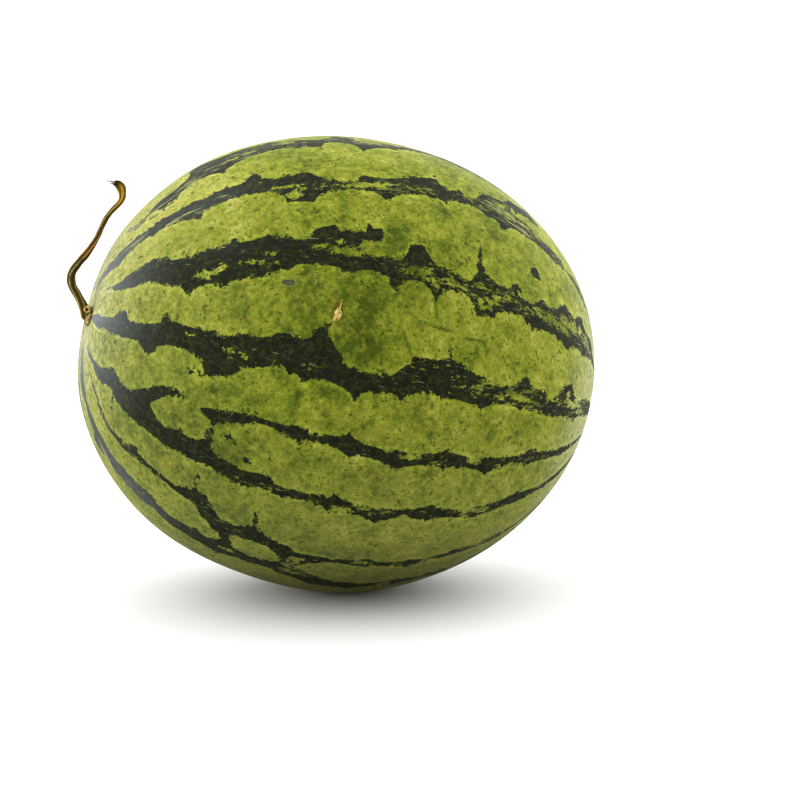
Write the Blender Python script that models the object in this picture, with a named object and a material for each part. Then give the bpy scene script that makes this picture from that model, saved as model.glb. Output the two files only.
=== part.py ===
"""A whole striped watermelon lying on a small flat spot, with the dried stem that it was picked with.

Metres, +Z up, +X along the fruit towards its blossom end. The origin is on the flat spot, right below the
fruit's middle. The fruit is one solid, an egg-round ellipsoid with faint swellings that are added to its
radius by direction. The stem is a ridged tube carried along a route, with its callus and a small curl joined on.
"""

import math

import bmesh
import bpy
import numpy as np

# Driving dimensions of the fruit
FRUIT_LENGTH = 0.239
FRUIT_WIDTH = 0.209
CENTRE_HEIGHT = 0.1037
LONG_AXIS_TILT = math.radians(3.7)
STEM_POLE_RISE = math.radians(12.3)
RIB_COUNT = 10
RIB_HEIGHT = 0.00022

# Dips and rises at the two ends: height in metres, and the angle in degrees over which it fades
STEM_BASIN = (-0.0018, 9.0)
STEM_DIMPLE = (-0.0018, 6.5)
BLOSSOM_BASIN = (-0.0013, 6.0)
BLOSSOM_RIM = (0.0005, 4.4, 1.0)
BLOSSOM_BUTTON = (0.0012, 1.2)

# Faint swellings of the rind: degrees along from the stem, degrees around from the front, metres, degrees
SWELLINGS = (
    (49, -81, 0.0005, 11),
    (74, -79, -0.0008, 11),
    (103, -73, 0.0008, 12),
    (95, 89, -0.0007, 11),
    (46, 98, 0.0010, 11),
    (147, 73, 0.0004, 10),
    (70, 160, 0.0007, 14),
    (118, 200, -0.0006, 13),
)

# Driving dimensions of the stem
GAP = 0.0003
STALK_CLEARANCE = 0.0009
STEM_RIDGES = 5
RIDGE_SHARE = 0.10
RIDGE_TWIST = math.radians(150)
CALLUS_RADIUS = 0.0046
CALLUS_HEIGHT = 0.0027
CALLUS_RIM = 0.0006
CALLUS_FALL = 0.7
CALLUS_LOBES = ((3, 0.10, 0.8), (5, 0.05, 0.0))
CURL_RADIUS = 0.0012
CURL_THICKNESS = 0.0006
CURL_PLACE_MM = (-1.9, -4.6, 4.2)
TIP_HOLLOW = 0.0008

# The middle of the stalk in millimetres from the stem pole on the rind, then half its width and half its depth
STALK_ROUTE_MM = (
    (-1.2, 0.0, 0.3, 2.5, 2.5),
    (-2.1, -0.3, 1.1, 2.3, 2.3),
    (-2.6, -1.2, 2.6, 2.1, 2.1),
    (-3.2, -2.3, 4.6, 1.9, 1.9),
    (-4.3, -2.9, 7.3, 1.7, 1.7),
    (-6.2, -2.8, 11.2, 1.6, 1.6),
    (-7.8, -2.2, 14.2, 1.65, 1.6),
    (-8.4, -1.4, 17.2, 1.7, 1.6),
    (-7.7, -0.4, 20.8, 1.6, 1.6),
    (-4.8, 0.8, 24.7, 1.5, 1.55),
    (-1.4, 2.0, 28.3, 1.45, 1.5),
    (1.4, 3.4, 31.7, 1.3, 1.4),
    (4.0, 4.9, 35.3, 1.1, 1.2),
    (6.6, 6.8, 40.0, 1.05, 1.1),
    (8.7, 8.2, 43.5, 1.1, 1.1),
    (11.7, 9.2, 47.2, 1.15, 1.1),
    (14.4, 9.3, 49.8, 1.2, 1.1),
    (16.0, 8.7, 52.4, 1.25, 1.1),
    (16.1, 7.6, 55.1, 1.6, 1.1),
    (15.3, 6.2, 57.7, 1.95, 1.0),
    (13.8, 4.9, 59.4, 1.7, 0.9),
    (12.0, 3.9, 60.2, 1.1, 0.8),
)
BROAD_FACE = np.array([-0.1736, -0.9848, 0.0])

# Finishes: colour and roughness
RIND_COLOUR = (0.22, 0.33, 0.07)
RIND_ROUGHNESS = 0.45
STALK_COLOUR = (0.16, 0.10, 0.03)
STALK_ROUGHNESS = 0.6
SHARP_ANGLE = math.radians(40)

# How finely each surface is divided
FRUIT_ROWS = 46
FRUIT_COLUMNS = 80
ROW_CROWDING = 0.6
STALK_RINGS = 64
STALK_SIDES = 20
CALLUS_RINGS = 6
CALLUS_SIDES = 30
CURL_RINGS = 14
CURL_SIDES = 8

LONG_AXIS = np.array([-math.cos(LONG_AXIS_TILT), 0.0, math.sin(LONG_AXIS_TILT)])
STEM_POLE = np.array([-math.cos(STEM_POLE_RISE), 0.0, math.sin(STEM_POLE_RISE)])
POLE_UP = np.array([math.sin(STEM_POLE_RISE), 0.0, math.cos(STEM_POLE_RISE)])
POLE_FRONT = np.array([0.0, -1.0, 0.0])
CENTRE = np.array([0.0, 0.0, CENTRE_HEIGHT])


def unit(vectors):
    return vectors / np.linalg.norm(vectors, axis=-1, keepdims=True)


def direction(along, around):
    """The unit vector at an angle along from the stem pole and an angle around it from the front, in degrees."""
    along = np.radians(along)[..., None]
    around = np.radians(around)[..., None]
    across = np.cos(around) * POLE_FRONT + np.sin(around) * POLE_UP
    return np.cos(along) * STEM_POLE + np.sin(along) * across


def bell(distance, width):
    """A smooth hump of height 1 that fades over the given width."""
    return np.exp(-0.5 * (distance / width) ** 2)


def rind_radius(directions):
    """Distance from the fruit's middle to its skin: an ellipsoid's radius, and the dips, ribs and swellings."""
    lengthwise = directions @ LONG_AXIS
    half_length = FRUIT_LENGTH / 2
    half_width = FRUIT_WIDTH / 2
    radius = ((lengthwise / half_length) ** 2 + (1 - lengthwise**2) / half_width**2) ** -0.5
    from_stem = np.degrees(np.arccos(np.clip(directions @ STEM_POLE, -1, 1)))
    from_blossom = 180 - from_stem
    radius = radius + STEM_BASIN[0] * bell(from_stem, STEM_BASIN[1])
    radius = radius + STEM_DIMPLE[0] * bell(from_stem, STEM_DIMPLE[1])
    radius = radius + BLOSSOM_BASIN[0] * bell(from_blossom, BLOSSOM_BASIN[1])
    radius = radius + BLOSSOM_RIM[0] * bell(from_blossom - BLOSSOM_RIM[1], BLOSSOM_RIM[2])
    radius = radius + BLOSSOM_BUTTON[0] * bell(from_blossom, BLOSSOM_BUTTON[1])
    around = np.arctan2(directions @ POLE_UP, directions @ POLE_FRONT)
    radius = radius + RIB_HEIGHT * np.cos(RIB_COUNT * around) * np.sin(np.radians(from_stem)) ** 2
    for along_at, around_at, height, width in SWELLINGS:
        middle = direction(np.array(along_at), np.array(around_at))
        apart = np.degrees(np.arccos(np.clip(directions @ middle, -1, 1)))
        radius = radius + height * bell(apart, width)
    return radius


def on_rind(directions, lift=0.0):
    """Points on the skin in these directions from the fruit's middle, or the given height above it."""
    return CENTRE + directions * (rind_radius(directions) + lift)[..., None]


def kept_off_rind(points, least):
    """The points, with those nearer to the skin than the least height moved straight out to that height."""
    offsets = points - CENTRE
    distance = np.linalg.norm(offsets, axis=-1, keepdims=True)
    directions = offsets / distance
    lowest = rind_radius(directions)[..., None] + least
    return CENTRE + directions * np.maximum(distance, lowest)


def smooth_route(knots, count):
    """Evenly spaced rows on a Catmull-Rom curve through the knots; every column is carried along."""
    before = 2 * knots[0] - knots[1]
    after = 2 * knots[-1] - knots[-2]
    padded = np.vstack([before, knots, after])
    fine = np.linspace(0, len(knots) - 1, 40 * len(knots))
    start = np.minimum(fine.astype(int), len(knots) - 2)
    t = (fine - start)[:, None]
    p0, p1, p2, p3 = (padded[start + k] for k in range(4))
    curve = 0.5 * (2 * p1 + (p2 - p0) * t + (2 * p0 - 5 * p1 + 4 * p2 - p3) * t**2)
    curve = curve + 0.5 * (3 * p1 - p0 - 3 * p2 + p3) * t**3
    steps = np.linalg.norm(np.diff(curve[:, :3], axis=0), axis=1)
    travelled = np.concatenate([[0.0], np.cumsum(steps)])
    wanted = np.linspace(0, travelled[-1], count)
    return np.stack([np.interp(wanted, travelled, column) for column in curve.T], axis=1)


def material(name, colour, roughness):
    """A Principled BSDF finish of one colour."""
    made = bpy.data.materials.new(name)
    made.use_nodes = True
    shader = made.node_tree.nodes["Principled BSDF"]
    shader.inputs["Base Color"].default_value = (*colour, 1.0)
    shader.inputs["Roughness"].default_value = roughness
    shader.inputs["Metallic"].default_value = 0.0
    return made


def rows_of_faces(shape, rings, looped=False):
    """Faces between neighbouring rings of points, and from the last back to the first when looped."""
    rows = [[shape.verts.new(point) for point in ring] for ring in rings]
    pairs = list(zip(rows, rows[1:]))
    if looped:
        pairs.append((rows[-1], rows[0]))
    for lower, upper in pairs:
        for i in range(len(lower)):
            after = (i + 1) % len(lower)
            shape.faces.new((lower[i], lower[after], upper[after], upper[i]))
    return rows


def mesh_object(name, shape):
    """A smooth-shaded object in the scene from a bmesh, which is freed."""
    bmesh.ops.recalc_face_normals(shape, faces=shape.faces[:])
    mesh = bpy.data.meshes.new(name)
    shape.to_mesh(mesh)
    shape.free()
    mesh.shade_smooth()
    mesh.set_sharp_from_angle(angle=SHARP_ANGLE)
    made = bpy.data.objects.new(name, mesh)
    bpy.context.scene.collection.objects.link(made)
    return made


def capped_shape(rings, first_end, last_end):
    """A closed bmesh from rings of points, each end drawn together to one point."""
    shape = bmesh.new()
    rows = rows_of_faces(shape, rings)
    for row, end in ((rows[0], first_end), (rows[-1], last_end)):
        tip = shape.verts.new(end)
        for i in range(len(row)):
            shape.faces.new((row[i], row[(i + 1) % len(row)], tip))
    return shape


def join(target, helper):
    """Joins a helper's shape to the target with a Boolean union, and keeps the helper out of the object."""
    union = target.modifiers.new(f"join {helper.name}", "BOOLEAN")
    union.operation = "UNION"
    union.solver = "EXACT"
    union.object = helper
    helper.hide_render = True
    helper.display_type = "WIRE"
    helper.parent = target


def build_fruit():
    """The melon: rings of skin points from the stem pole to the blossom end, cut flat where it rests."""
    share = np.linspace(0, 1, FRUIT_ROWS + 2)[1:-1]
    along = 180 * (share - ROW_CROWDING * np.sin(2 * math.pi * share) / (2 * math.pi))
    around = np.arange(FRUIT_COLUMNS) * 360 / FRUIT_COLUMNS
    rings = on_rind(direction(*np.meshgrid(along, around, indexing="ij")))
    stem_end, blossom_end = on_rind(np.array([STEM_POLE, -STEM_POLE]))
    shape = capped_shape(rings, stem_end, blossom_end)
    everything = shape.verts[:] + shape.edges[:] + shape.faces[:]
    bmesh.ops.bisect_plane(shape, geom=everything, plane_co=(0, 0, 0), plane_no=(0, 0, 1), clear_inner=True)
    rim = [edge for edge in shape.edges if edge.is_boundary]
    bmesh.ops.contextual_create(shape, geom=rim)
    fruit = mesh_object("fruit", shape)
    fruit.data.materials.append(material("striped rind", RIND_COLOUR, RIND_ROUGHNESS))
    return fruit


def build_stalk(pole_point):
    """The stalk: a ridged tube along its route, broad and flat at its hooked tip, which has a hollow end."""
    route = smooth_route(np.array(STALK_ROUTE_MM) / 1000, STALK_RINGS)
    middle = route[:, :3] + pole_point
    forward = unit(np.gradient(middle, axis=0))
    sideways = unit(np.cross(forward, BROAD_FACE))
    outward = np.cross(sideways, forward)
    turn = np.arange(STALK_SIDES) * 2 * math.pi / STALK_SIDES
    share = np.linspace(0, 1, STALK_RINGS)[:, None]
    ridged = 1 + RIDGE_SHARE * np.cos(STEM_RIDGES * (turn + RIDGE_TWIST * share))
    width = (route[:, 3:4] * ridged * np.cos(turn))[..., None]
    depth = (route[:, 4:5] * ridged * np.sin(turn))[..., None]
    rings = middle[:, None] + width * sideways[:, None] + depth * outward[:, None]
    rings = kept_off_rind(rings, STALK_CLEARANCE)
    tip_end = rings[-1].mean(axis=0) - forward[-1] * TIP_HOLLOW
    return mesh_object("stem", capped_shape(rings, rings[0].mean(axis=0), tip_end))


def build_callus():
    """The corky foot on the rind: a low lobed dome over the stem pole, hollowed to follow the skin under it."""
    turn = np.arange(CALLUS_SIDES) * 2 * math.pi / CALLUS_SIDES
    lobes = sum(share * np.cos(count * turn + start) for count, share, start in CALLUS_LOBES)
    reach = CALLUS_RADIUS * (1 + lobes)
    out = np.sin(np.linspace(0, math.pi / 2, CALLUS_RINGS + 1)[1:])[:, None]
    dome = GAP + CALLUS_RIM + (CALLUS_HEIGHT - CALLUS_RIM) * (1 - out**2) ** CALLUS_FALL
    under = np.array([[1.0], [0.5]])
    distance = np.vstack([out, under]) * reach
    lift = np.broadcast_to(np.vstack([dome, np.full_like(under, GAP)]), distance.shape)
    along = np.degrees(distance / (FRUIT_LENGTH / 2))
    around = np.broadcast_to(np.degrees(turn), along.shape)
    rings = on_rind(direction(along, around), lift)
    top, underside = on_rind(np.array([STEM_POLE, STEM_POLE]), np.array([GAP + CALLUS_HEIGHT, GAP]))
    return mesh_object("callus", capped_shape(rings, top, underside))


def build_curl(pole_point):
    """The dried curl beside the stalk's foot: a ring that faces the same way as the stalk's broad face."""
    upward = np.array([0.0, 0.0, 1.0])
    across = np.cross(upward, BROAD_FACE)
    sweep = np.arange(CURL_RINGS)[:, None] * 2 * math.pi / CURL_RINGS
    turn = np.arange(CURL_SIDES)[:, None] * 2 * math.pi / CURL_SIDES
    spoke = np.cos(sweep) * across + np.sin(sweep) * upward
    middle = pole_point + np.array(CURL_PLACE_MM) / 1000
    rings = middle + (CURL_RADIUS + CURL_THICKNESS * np.cos(turn)) * spoke[:, None]
    rings = rings + CURL_THICKNESS * np.sin(turn) * BROAD_FACE
    shape = bmesh.new()
    rows_of_faces(shape, kept_off_rind(rings, GAP), looped=True)
    return mesh_object("curl", shape)


def build_stem():
    """The dried stem: stalk, callus and curl as one body."""
    pole_point = on_rind(STEM_POLE[None])[0]
    stem = build_stalk(pole_point)
    join(stem, build_callus())
    join(stem, build_curl(pole_point))
    stem.data.materials.append(material("dried stalk", STALK_COLOUR, STALK_ROUGHNESS))
    return stem


def main():
    for old in list(bpy.data.objects):
        bpy.data.objects.remove(old)
    build_fruit()
    build_stem()


main()
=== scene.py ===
"""The looks of a whole striped watermelon with its dried, curly stem.

Places on the rind are given as two angles in degrees: along, from the stem pole (0) to the blossom pole
(180), and around, from the front (0) up over the crown (90) to the back (180) and the underside (-90 or 270).
"""

import math
from types import SimpleNamespace

import bpy
import numpy as np
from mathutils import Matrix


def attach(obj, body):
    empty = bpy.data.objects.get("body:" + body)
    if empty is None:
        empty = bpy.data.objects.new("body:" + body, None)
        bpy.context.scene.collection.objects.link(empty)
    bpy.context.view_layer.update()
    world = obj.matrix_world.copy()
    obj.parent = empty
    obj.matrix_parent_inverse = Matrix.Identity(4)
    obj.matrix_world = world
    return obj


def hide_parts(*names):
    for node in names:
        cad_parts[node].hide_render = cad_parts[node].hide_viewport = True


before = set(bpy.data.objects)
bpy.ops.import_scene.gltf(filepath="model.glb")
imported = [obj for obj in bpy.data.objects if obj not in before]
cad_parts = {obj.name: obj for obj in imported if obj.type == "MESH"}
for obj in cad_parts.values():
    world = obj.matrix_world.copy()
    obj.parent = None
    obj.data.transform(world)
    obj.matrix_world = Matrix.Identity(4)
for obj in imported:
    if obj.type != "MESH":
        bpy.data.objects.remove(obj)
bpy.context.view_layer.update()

# Driving dimensions of the fruit, the same as the solid's
FRUIT_LENGTH = 0.239
FRUIT_WIDTH = 0.209
CENTRE_HEIGHT = 0.1037
LONG_AXIS_TILT = math.radians(3.7)
STEM_POLE_RISE = math.radians(12.3)
RIB_COUNT = 10
RIB_HEIGHT = 0.00022
STEM_BASIN = (-0.0018, 9.0)
STEM_DIMPLE = (-0.0018, 6.5)
BLOSSOM_BASIN = (-0.0013, 6.0)
BLOSSOM_RIM = (0.0005, 4.4, 1.0)
BLOSSOM_BUTTON = (0.0012, 1.2)
SWELLINGS = (
    (49, -81, 0.0005, 11),
    (74, -79, -0.0008, 11),
    (103, -73, 0.0008, 12),
    (95, 89, -0.0007, 11),
    (46, 98, 0.0010, 11),
    (147, 73, 0.0004, 10),
    (70, 160, 0.0007, 14),
    (118, 200, -0.0006, 13),
)
LONG_AXIS = np.array([-math.cos(LONG_AXIS_TILT), 0.0, math.sin(LONG_AXIS_TILT)])
STEM_POLE = np.array([-math.cos(STEM_POLE_RISE), 0.0, math.sin(STEM_POLE_RISE)])
POLE_UP = np.array([math.sin(STEM_POLE_RISE), 0.0, math.cos(STEM_POLE_RISE)])
POLE_FRONT = np.array([0.0, -1.0, 0.0])
CENTRE = np.array([0.0, 0.0, CENTRE_HEIGHT])
UP = np.array([0.0, 0.0, 1.0])
MM = 1000.0
MM_PER_DEGREE = math.radians(1) * FRUIT_WIDTH / 2 * MM

# The camera, as the photograph was taken: its place seen from the fruit's middle, and where that middle shows
CAMERA_AZIMUTH = math.radians(-10)
CAMERA_ELEVATION = math.radians(9)
CAMERA_DISTANCE = 1.5
LENS_MM = 146.74
SENSOR_MM = 36.0
PICTURE_PIXELS = 800
MIDDLE_PIXEL = (336.4, 363.2)

# Stripe edges, read one by one: along, around and, where it does, how many degrees the pale ground bulges
# into the stripe on the way to the next point, in one round lobe
CROWN_UPPER = (
    (20.5, 87), (22.6, 82.5), (24, 79.3), (26, 76.8), (28, 78), (29, 80.5), (30.6, 81.5, 0.3), (36, 81.4),
    (39.4, 84.6), (40.4, 88, 0.3), (40.8, 94), (43, 96.5), (45.8, 94.6), (48, 92.4, 0.7), (54.5, 92.4, 1.0),
    (61, 91.5), (64, 88.6), (70, 85.8), (73, 84.8), (75.3, 87.5), (77.5, 90.5), (80, 88), (82, 84.8),
    (88, 84), (93, 84.5), (97, 87), (103, 87.5), (110, 85.5, 0.5), (118, 84, 0.8), (128, 84.5, 0.8),
    (139, 84, 0.6), (150, 84, 0.4), (162, 83), (174, 82),
)
CROWN_LOWER = (
    (20.5, 86.6), (22.2, 78.5), (23.1, 73.3), (25.3, 70.3, 2.9), (30.7, 72), (32.2, 68.2), (33.1, 73.6),
    (34.3, 71, 0.7), (35.8, 70.3, 5.4), (47.6, 71.5, 5.3), (66.3, 76.2, 2.2), (72, 75.1, 6.6),
    (82, 72.3, 2.4), (91, 77.8, 3.3), (108, 80.6, 0.8), (118, 79.4, 1.5), (128, 79.2, 1.4), (139, 78.5, 1.0),
    (150, 79, 0.4), (162, 79.5), (174, 80),
)
SHOULDER_UPPER = (
    (2.4, 118), (4.3, 114), (6.2, 112), (8.2, 98), (9.6, 86), (11.4, 78), (13.6, 73), (15.6, 66.3, 0.7),
    (18, 66.5, 0.5), (20.5, 64.6, 0.9), (24.5, 64.3, 1.3), (32, 63.4, 1.7), (37.2, 63.6, 1.4),
    (39.3, 63.5, 1.6), (45, 63.2, 0.9), (48, 63.6, 0.9), (52.4, 63.3), (54, 66), (55.6, 67.2),
    (56.8, 63.4, 1.1), (62, 62.1, 0.3), (68.3, 63.2, 0.6), (71, 60.2, 1.7), (80, 59.9), (81.3, 61.3, 0.7),
    (88, 61, 0.1), (93.5, 63.5, 0.2), (98.2, 64.8), (99.4, 67.2, 4.4), (105.8, 66.3, 4.8),
    (111.6, 67.2, 0.3), (116.8, 68.9), (119, 70), (120.8, 74, 0.3), (124.5, 75.3, 0.2), (127.3, 78),
    (129.5, 75), (131, 71.7), (127, 70.4), (124.3, 69.8), (123, 67.8), (122.4, 65.8), (126, 65.6),
    (128.5, 63.5), (131.5, 64.4, 0.4), (137, 64.4, 0.4), (141, 61.9), (143.5, 65.3), (147, 64.6),
    (150, 62.5, 0.5), (161, 61), (174, 60),
)
SHOULDER_LOWER = (
    (2.0, 106), (4.2, 98), (5.6, 90), (7.2, 78), (9.2, 68), (11.6, 61), (15, 54.5), (18, 50, 3.1),
    (28.8, 53.6, 2.7), (41.5, 50, 6.2), (62.6, 50.4, 0.3), (69.3, 49.8, 4.3), (86.2, 51.4, 1.9),
    (97.5, 55.9, 0.9), (102, 55.8, 2.3), (112.6, 56.9, 0.4), (116.3, 56.8), (116.7, 55.4),
    (118.4, 55.3, 1.8), (123.3, 57.8, 1.3), (135, 57.4, 1.1), (142, 60.3, 0.3), (150, 58.8, 0.6), (161, 58),
    (174, 58),
)
MIDDLE_UPPER = (
    (12.5, 38.3), (15, 36.7, 1.7), (21, 35.7), (24.6, 36.9, 0.3), (26.4, 37.9), (27.1, 40), (27.7, 37.6),
    (28.7, 39.4, 0.4), (33, 38.4), (34.8, 35.9, 0.8), (41.7, 36.4, 0.8), (44.5, 36.9, 0.3), (49.2, 37.6),
    (50.2, 40), (51.3, 38.9, 1.1), (55.6, 38.7, 0.3), (58.7, 39.6, 0.8), (64, 39.2, 1.1), (68.2, 38.5),
    (69.8, 41.4, 0.3), (74.2, 42.8, 1.4), (81.2, 41.9), (82.4, 44), (83.3, 42.3), (85.4, 43), (85.8, 40.3),
    (85, 38.5), (81.3, 38.9), (80, 36.3), (82, 35), (90, 34.6), (91.7, 37.2), (92.4, 39.3), (95.6, 40.2),
    (97.6, 37, 0.3), (100, 35.3, 0.1), (104.3, 34.6, 0.5), (108.3, 34.1), (109.9, 36.5), (109.8, 38.6),
    (110.0, 41.5), (110.4, 47.5), (110.9, 43), (111.2, 40), (112.4, 37.4, 0.2), (116, 35.5, 0.1),
    (119.6, 36.1), (120.4, 38.5), (121.7, 38.7), (122.6, 35.5, 0.5), (127.3, 35.8), (130.3, 37.8, 0.7),
    (135, 38.3), (137.3, 41.9), (138.8, 43.3, 0.9), (143.3, 42.5), (147, 47.2), (148.6, 44.5), (150.2, 42.6),
    (152.3, 44.7), (154.5, 44), (158, 40, 0.5), (165, 37.5), (174, 36.5),
)
MIDDLE_LOWER = (
    (12.5, 37.2), (15, 34.2), (18, 29), (20.3, 27.4, 0.2), (25.3, 26.4, 1.4), (33.8, 24.8, 0.1),
    (38.3, 23.4), (41, 20, 3.0), (48.4, 22.1, 1.8), (57.7, 25.5, 0.2), (60, 27.6, 0.7), (64.2, 28.2, 0.8),
    (67, 30.1, 0.4), (70, 30.1, 1.2), (78.7, 28.3, 2.5), (88.3, 28.1), (90.3, 25.7, 5.1), (99.7, 24.3, 5.0),
    (109.7, 25.8), (115.4, 25.8, 3.2), (127.3, 26.2, 2.7), (140.8, 25.9, 2.4), (148.5, 29.6, 0.3),
    (151, 31.5), (156, 35), (165, 34), (174, 35),
)
BELT_UPPER = (
    (2.5, 16), (5, 13), (10, 12.4), (14, 9.5, 0.2), (19, 9.3), (20.6, 12.2), (22.3, 14.4), (23.6, 13.6),
    (24.5, 10, 2.0), (34.5, 10.5), (36, 13.9), (37.3, 11.6, 1.0), (44.5, 10.3, 0.6), (49, 10.1, 1.8),
    (54.3, 10.7, 0.4), (60.5, 10.1), (64.3, 11.9), (66.6, 12.2, 0.9), (71.5, 12.7), (74.2, 16.2),
    (75.2, 16.2), (75.5, 12.7), (77.7, 10.4, 0.3), (79.5, 8.7, 2.6), (93.6, 8.6), (95.8, 9.8),
    (96.3, 12.2, 0.7), (104.8, 13.2), (105.4, 16.3), (106.2, 13.2, 0.5), (108.7, 13.1), (110.5, 11.4, 0.2),
    (115, 10.5), (116.3, 9.8, 0.5), (124.2, 9.6), (126.3, 11.8), (127.6, 13.2), (129, 12.2), (130.4, 9.9),
    (132.3, 10.6), (135.2, 10.4), (136.3, 8.3, 0.2), (138.9, 8.4), (139.2, 10.4), (140.3, 8.9), (141.6, 13),
    (143.2, 14.3), (145.9, 16.4), (147, 13.3, 0.2), (149.4, 10.6, 0.2), (152, 11), (158, 13.3), (165, 12),
    (174, 10),
)
BELT_LOWER = (
    (2.5, -2), (5, -1.4), (10, -2.1), (13.5, -2.5), (15.5, -0.7, 0.8), (19.8, -1.7, 0.9), (24.2, -1.2, 0.9),
    (29.8, -0.4), (31.4, -2.6), (33.4, -3.6), (34.6, -2.6, 5.7), (48.4, -4.2), (51, -3.5), (55.6, -2),
    (56.6, 0.4, 0.2), (60, 1.6), (63.5, 3, 1.0), (72, 0.2, 2.6), (84, -1.4, 2.4), (95, 0.5, 2.0),
    (105, 2.4, 1.4), (116, 1.4, 1.8), (127, 2.9, 1.2), (140, 1.4, 1.4), (150, 1, 0.8), (158, 3), (166, 4),
    (174, 5),
)
APRON_UPPER = (
    (49.5, -13.7), (51.5, -12.9), (56.5, -11.9), (63, -9.9, 1.2), (73, -9.5, 1.7), (85, -8.5, 1.7),
    (97, -10.5, 1.6), (110, -9, 1.5), (122, -10.5, 1.4), (135, -9, 1.2), (148, -10.5, 0.8), (160, -10),
    (174, -8),
)
APRON_LOWER = (
    (49.5, -14.3), (52, -16.2), (55.9, -15.8, 0.2), (63.5, -12.6, 0.8), (74, -14.5, 1.9), (86, -15.5, 1.9),
    (98, -17, 1.8), (110, -15.5, 1.8), (122, -17, 1.6), (135, -15, 1.3), (148, -15.5, 0.8), (160, -14),
    (174, -13),
)
LOWER_UPPER = (
    (7.6, -42.5), (11.2, -33.5), (14, -28.7), (17.5, -27.3), (20, -25), (21.5, -21.5), (23.3, -18.8),
    (24.4, -18.8, 2.0), (32, -20), (34, -17.3), (36.6, -14.6), (38.6, -12.6), (44.2, -10.9), (45.4, -12.9),
    (43.5, -14.1), (40.5, -15.7), (38.7, -18), (37.4, -20.8, 3.1), (46.3, -22.9, 1.5), (52.6, -21.9),
    (55.2, -24.6), (55.9, -25.0), (62.5, -26.6), (66.2, -26.0), (69.8, -25.2, 1.3), (75, -26.5, 1.2),
    (86, -25, 1.6), (98, -27, 1.4), (110, -25, 1.5), (122, -27, 1.2), (135, -25, 1.2), (148, -26, 0.8),
    (160, -24), (174, -22),
)
LOWER_LOWER = (
    (7.8, -43.5), (12.3, -37), (15, -33), (19.5, -34.8), (22, -33.2), (23.3, -30.2, 0.2), (25.6, -29.3),
    (28, -31.6), (31, -33.2), (33.5, -31.9), (36.3, -32.3, 0.8), (44.7, -32.4, 0.9), (50.4, -31.8, 0.9),
    (57.8, -30.8, 0.3), (64, -31.6, 0.6), (71, -29.6), (75, -30.6, 1.6), (85, -31.5, 1.8), (97, -33, 1.8),
    (110, -31.5, 1.6), (123, -32.5, 1.4), (137, -31, 1.2), (150, -30.5, 0.6), (162, -29), (174, -27),
)
HIP_UPPER = (
    (15.5, -42), (17.5, -42.6), (21.5, -43.4), (25, -46.8), (29, -48.3), (31.5, -47), (34.5, -45.8),
    (36.3, -43), (37.5, -41.6), (38.5, -43.6, 0.2), (50.3, -43.6), (52.3, -41.7), (54, -40.6), (57.3, -39.9),
    (60, -43.8), (61.6, -45.5, 1.6), (69.6, -42.6), (69.5, -40), (68.8, -37), (70.5, -39.5),
    (71.1, -43, 1.0), (79.4, -46, 0.2), (82, -48.2, 0.1), (90, -47.7, 0.8), (100, -46, 1.5), (111, -47, 1.5),
    (123, -45.5, 1.3), (136, -46.5, 1.2), (149, -45, 0.6), (161, -43), (174, -40),
)
HIP_LOWER = (
    (15.7, -43.5), (17.5, -44.4), (21.5, -46.0), (25, -49.2), (29, -50.7), (31.5, -49.4), (34.7, -49.8, 0.2),
    (38.5, -47.2, 0.1), (45.5, -45.5, 0.3), (49.7, -46.2, 0.3), (55.5, -46.0), (57.7, -48.9), (61, -51.3),
    (63.8, -53.2), (65, -57.5), (68, -57.3), (66.9, -53.5), (65.9, -50.8, 0.2), (70, -49.7, 0.2),
    (75.3, -49.3), (77, -50.7), (79.3, -52.3), (80.8, -54.5), (81.6, -51.2), (86, -50.2), (90, -50.2, 0.8),
    (100, -51, 1.4), (111, -52, 1.4), (123, -50.5, 1.3), (136, -51.5, 1.1), (149, -49.5, 0.5), (161, -47),
    (174, -43),
)
KEEL_UPPER = (
    (5.4, -90), (8, -68), (10.5, -61), (17, -60.8), (19, -64), (24, -62.3, 0.3), (30, -61, 0.2), (34, -61),
    (36.5, -59.4), (44.5, -57.5), (46, -56.4, 2.0), (53.8, -58.1, 0.2), (57.2, -58.1), (58.7, -56.3, 0.4),
    (61.3, -57.9), (64.3, -55.9), (68, -56.2, 0.4), (73.5, -56.9, 0.1), (78.5, -55.8), (80.3, -55.1, 0.9),
    (86.5, -57, 0.4), (92, -60.2, 0.2), (100, -60.5, 1.2), (111, -59.5, 1.4), (123, -60.5, 1.2),
    (136, -59.5, 1.0), (149, -58, 0.5), (161, -55), (174, -50),
)
KEEL_LOWER = (
    (5.6, -102), (8, -84), (11, -78), (16, -76.5), (19, -69.5, 0.2), (25.5, -70), (27, -75.5), (30, -74),
    (31.5, -69.8), (36, -68.5), (40.5, -66.2), (46, -66), (47.5, -63.9, 0.3), (53.5, -65, 1.3),
    (65.5, -64.9, 2.0), (80, -61.8, 0.1), (86, -63, 0.1), (90, -65.3, 0.4), (100, -66, 1.2),
    (111, -65.5, 1.4), (123, -66, 1.2), (136, -64.5, 1.0), (149, -62.5, 0.5), (161, -59), (174, -53),
)
SEEN_STRIPES = (
    (83, CROWN_UPPER, CROWN_LOWER),
    (60, SHOULDER_UPPER, SHOULDER_LOWER),
    (32, MIDDLE_UPPER, MIDDLE_LOWER),
    (6, BELT_UPPER, BELT_LOWER),
    (-12, APRON_UPPER, APRON_LOWER),
    (-28, LOWER_UPPER, LOWER_LOWER),
    (-47, HIP_UPPER, HIP_LOWER),
    (-62, KEEL_UPPER, KEEL_LOWER),
)

# Stripes of the sides that the photograph doesn't show: their middle around and their half width in degrees
HIDDEN_STRIPES = (
    (108, 3.4), (131, 4.6), (155, 3.8), (180, 5.2), (204, 3.6), (227, 4.8), (250, 3.6), (270, 3.0),
)
HIDDEN_SEED = 7

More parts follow.
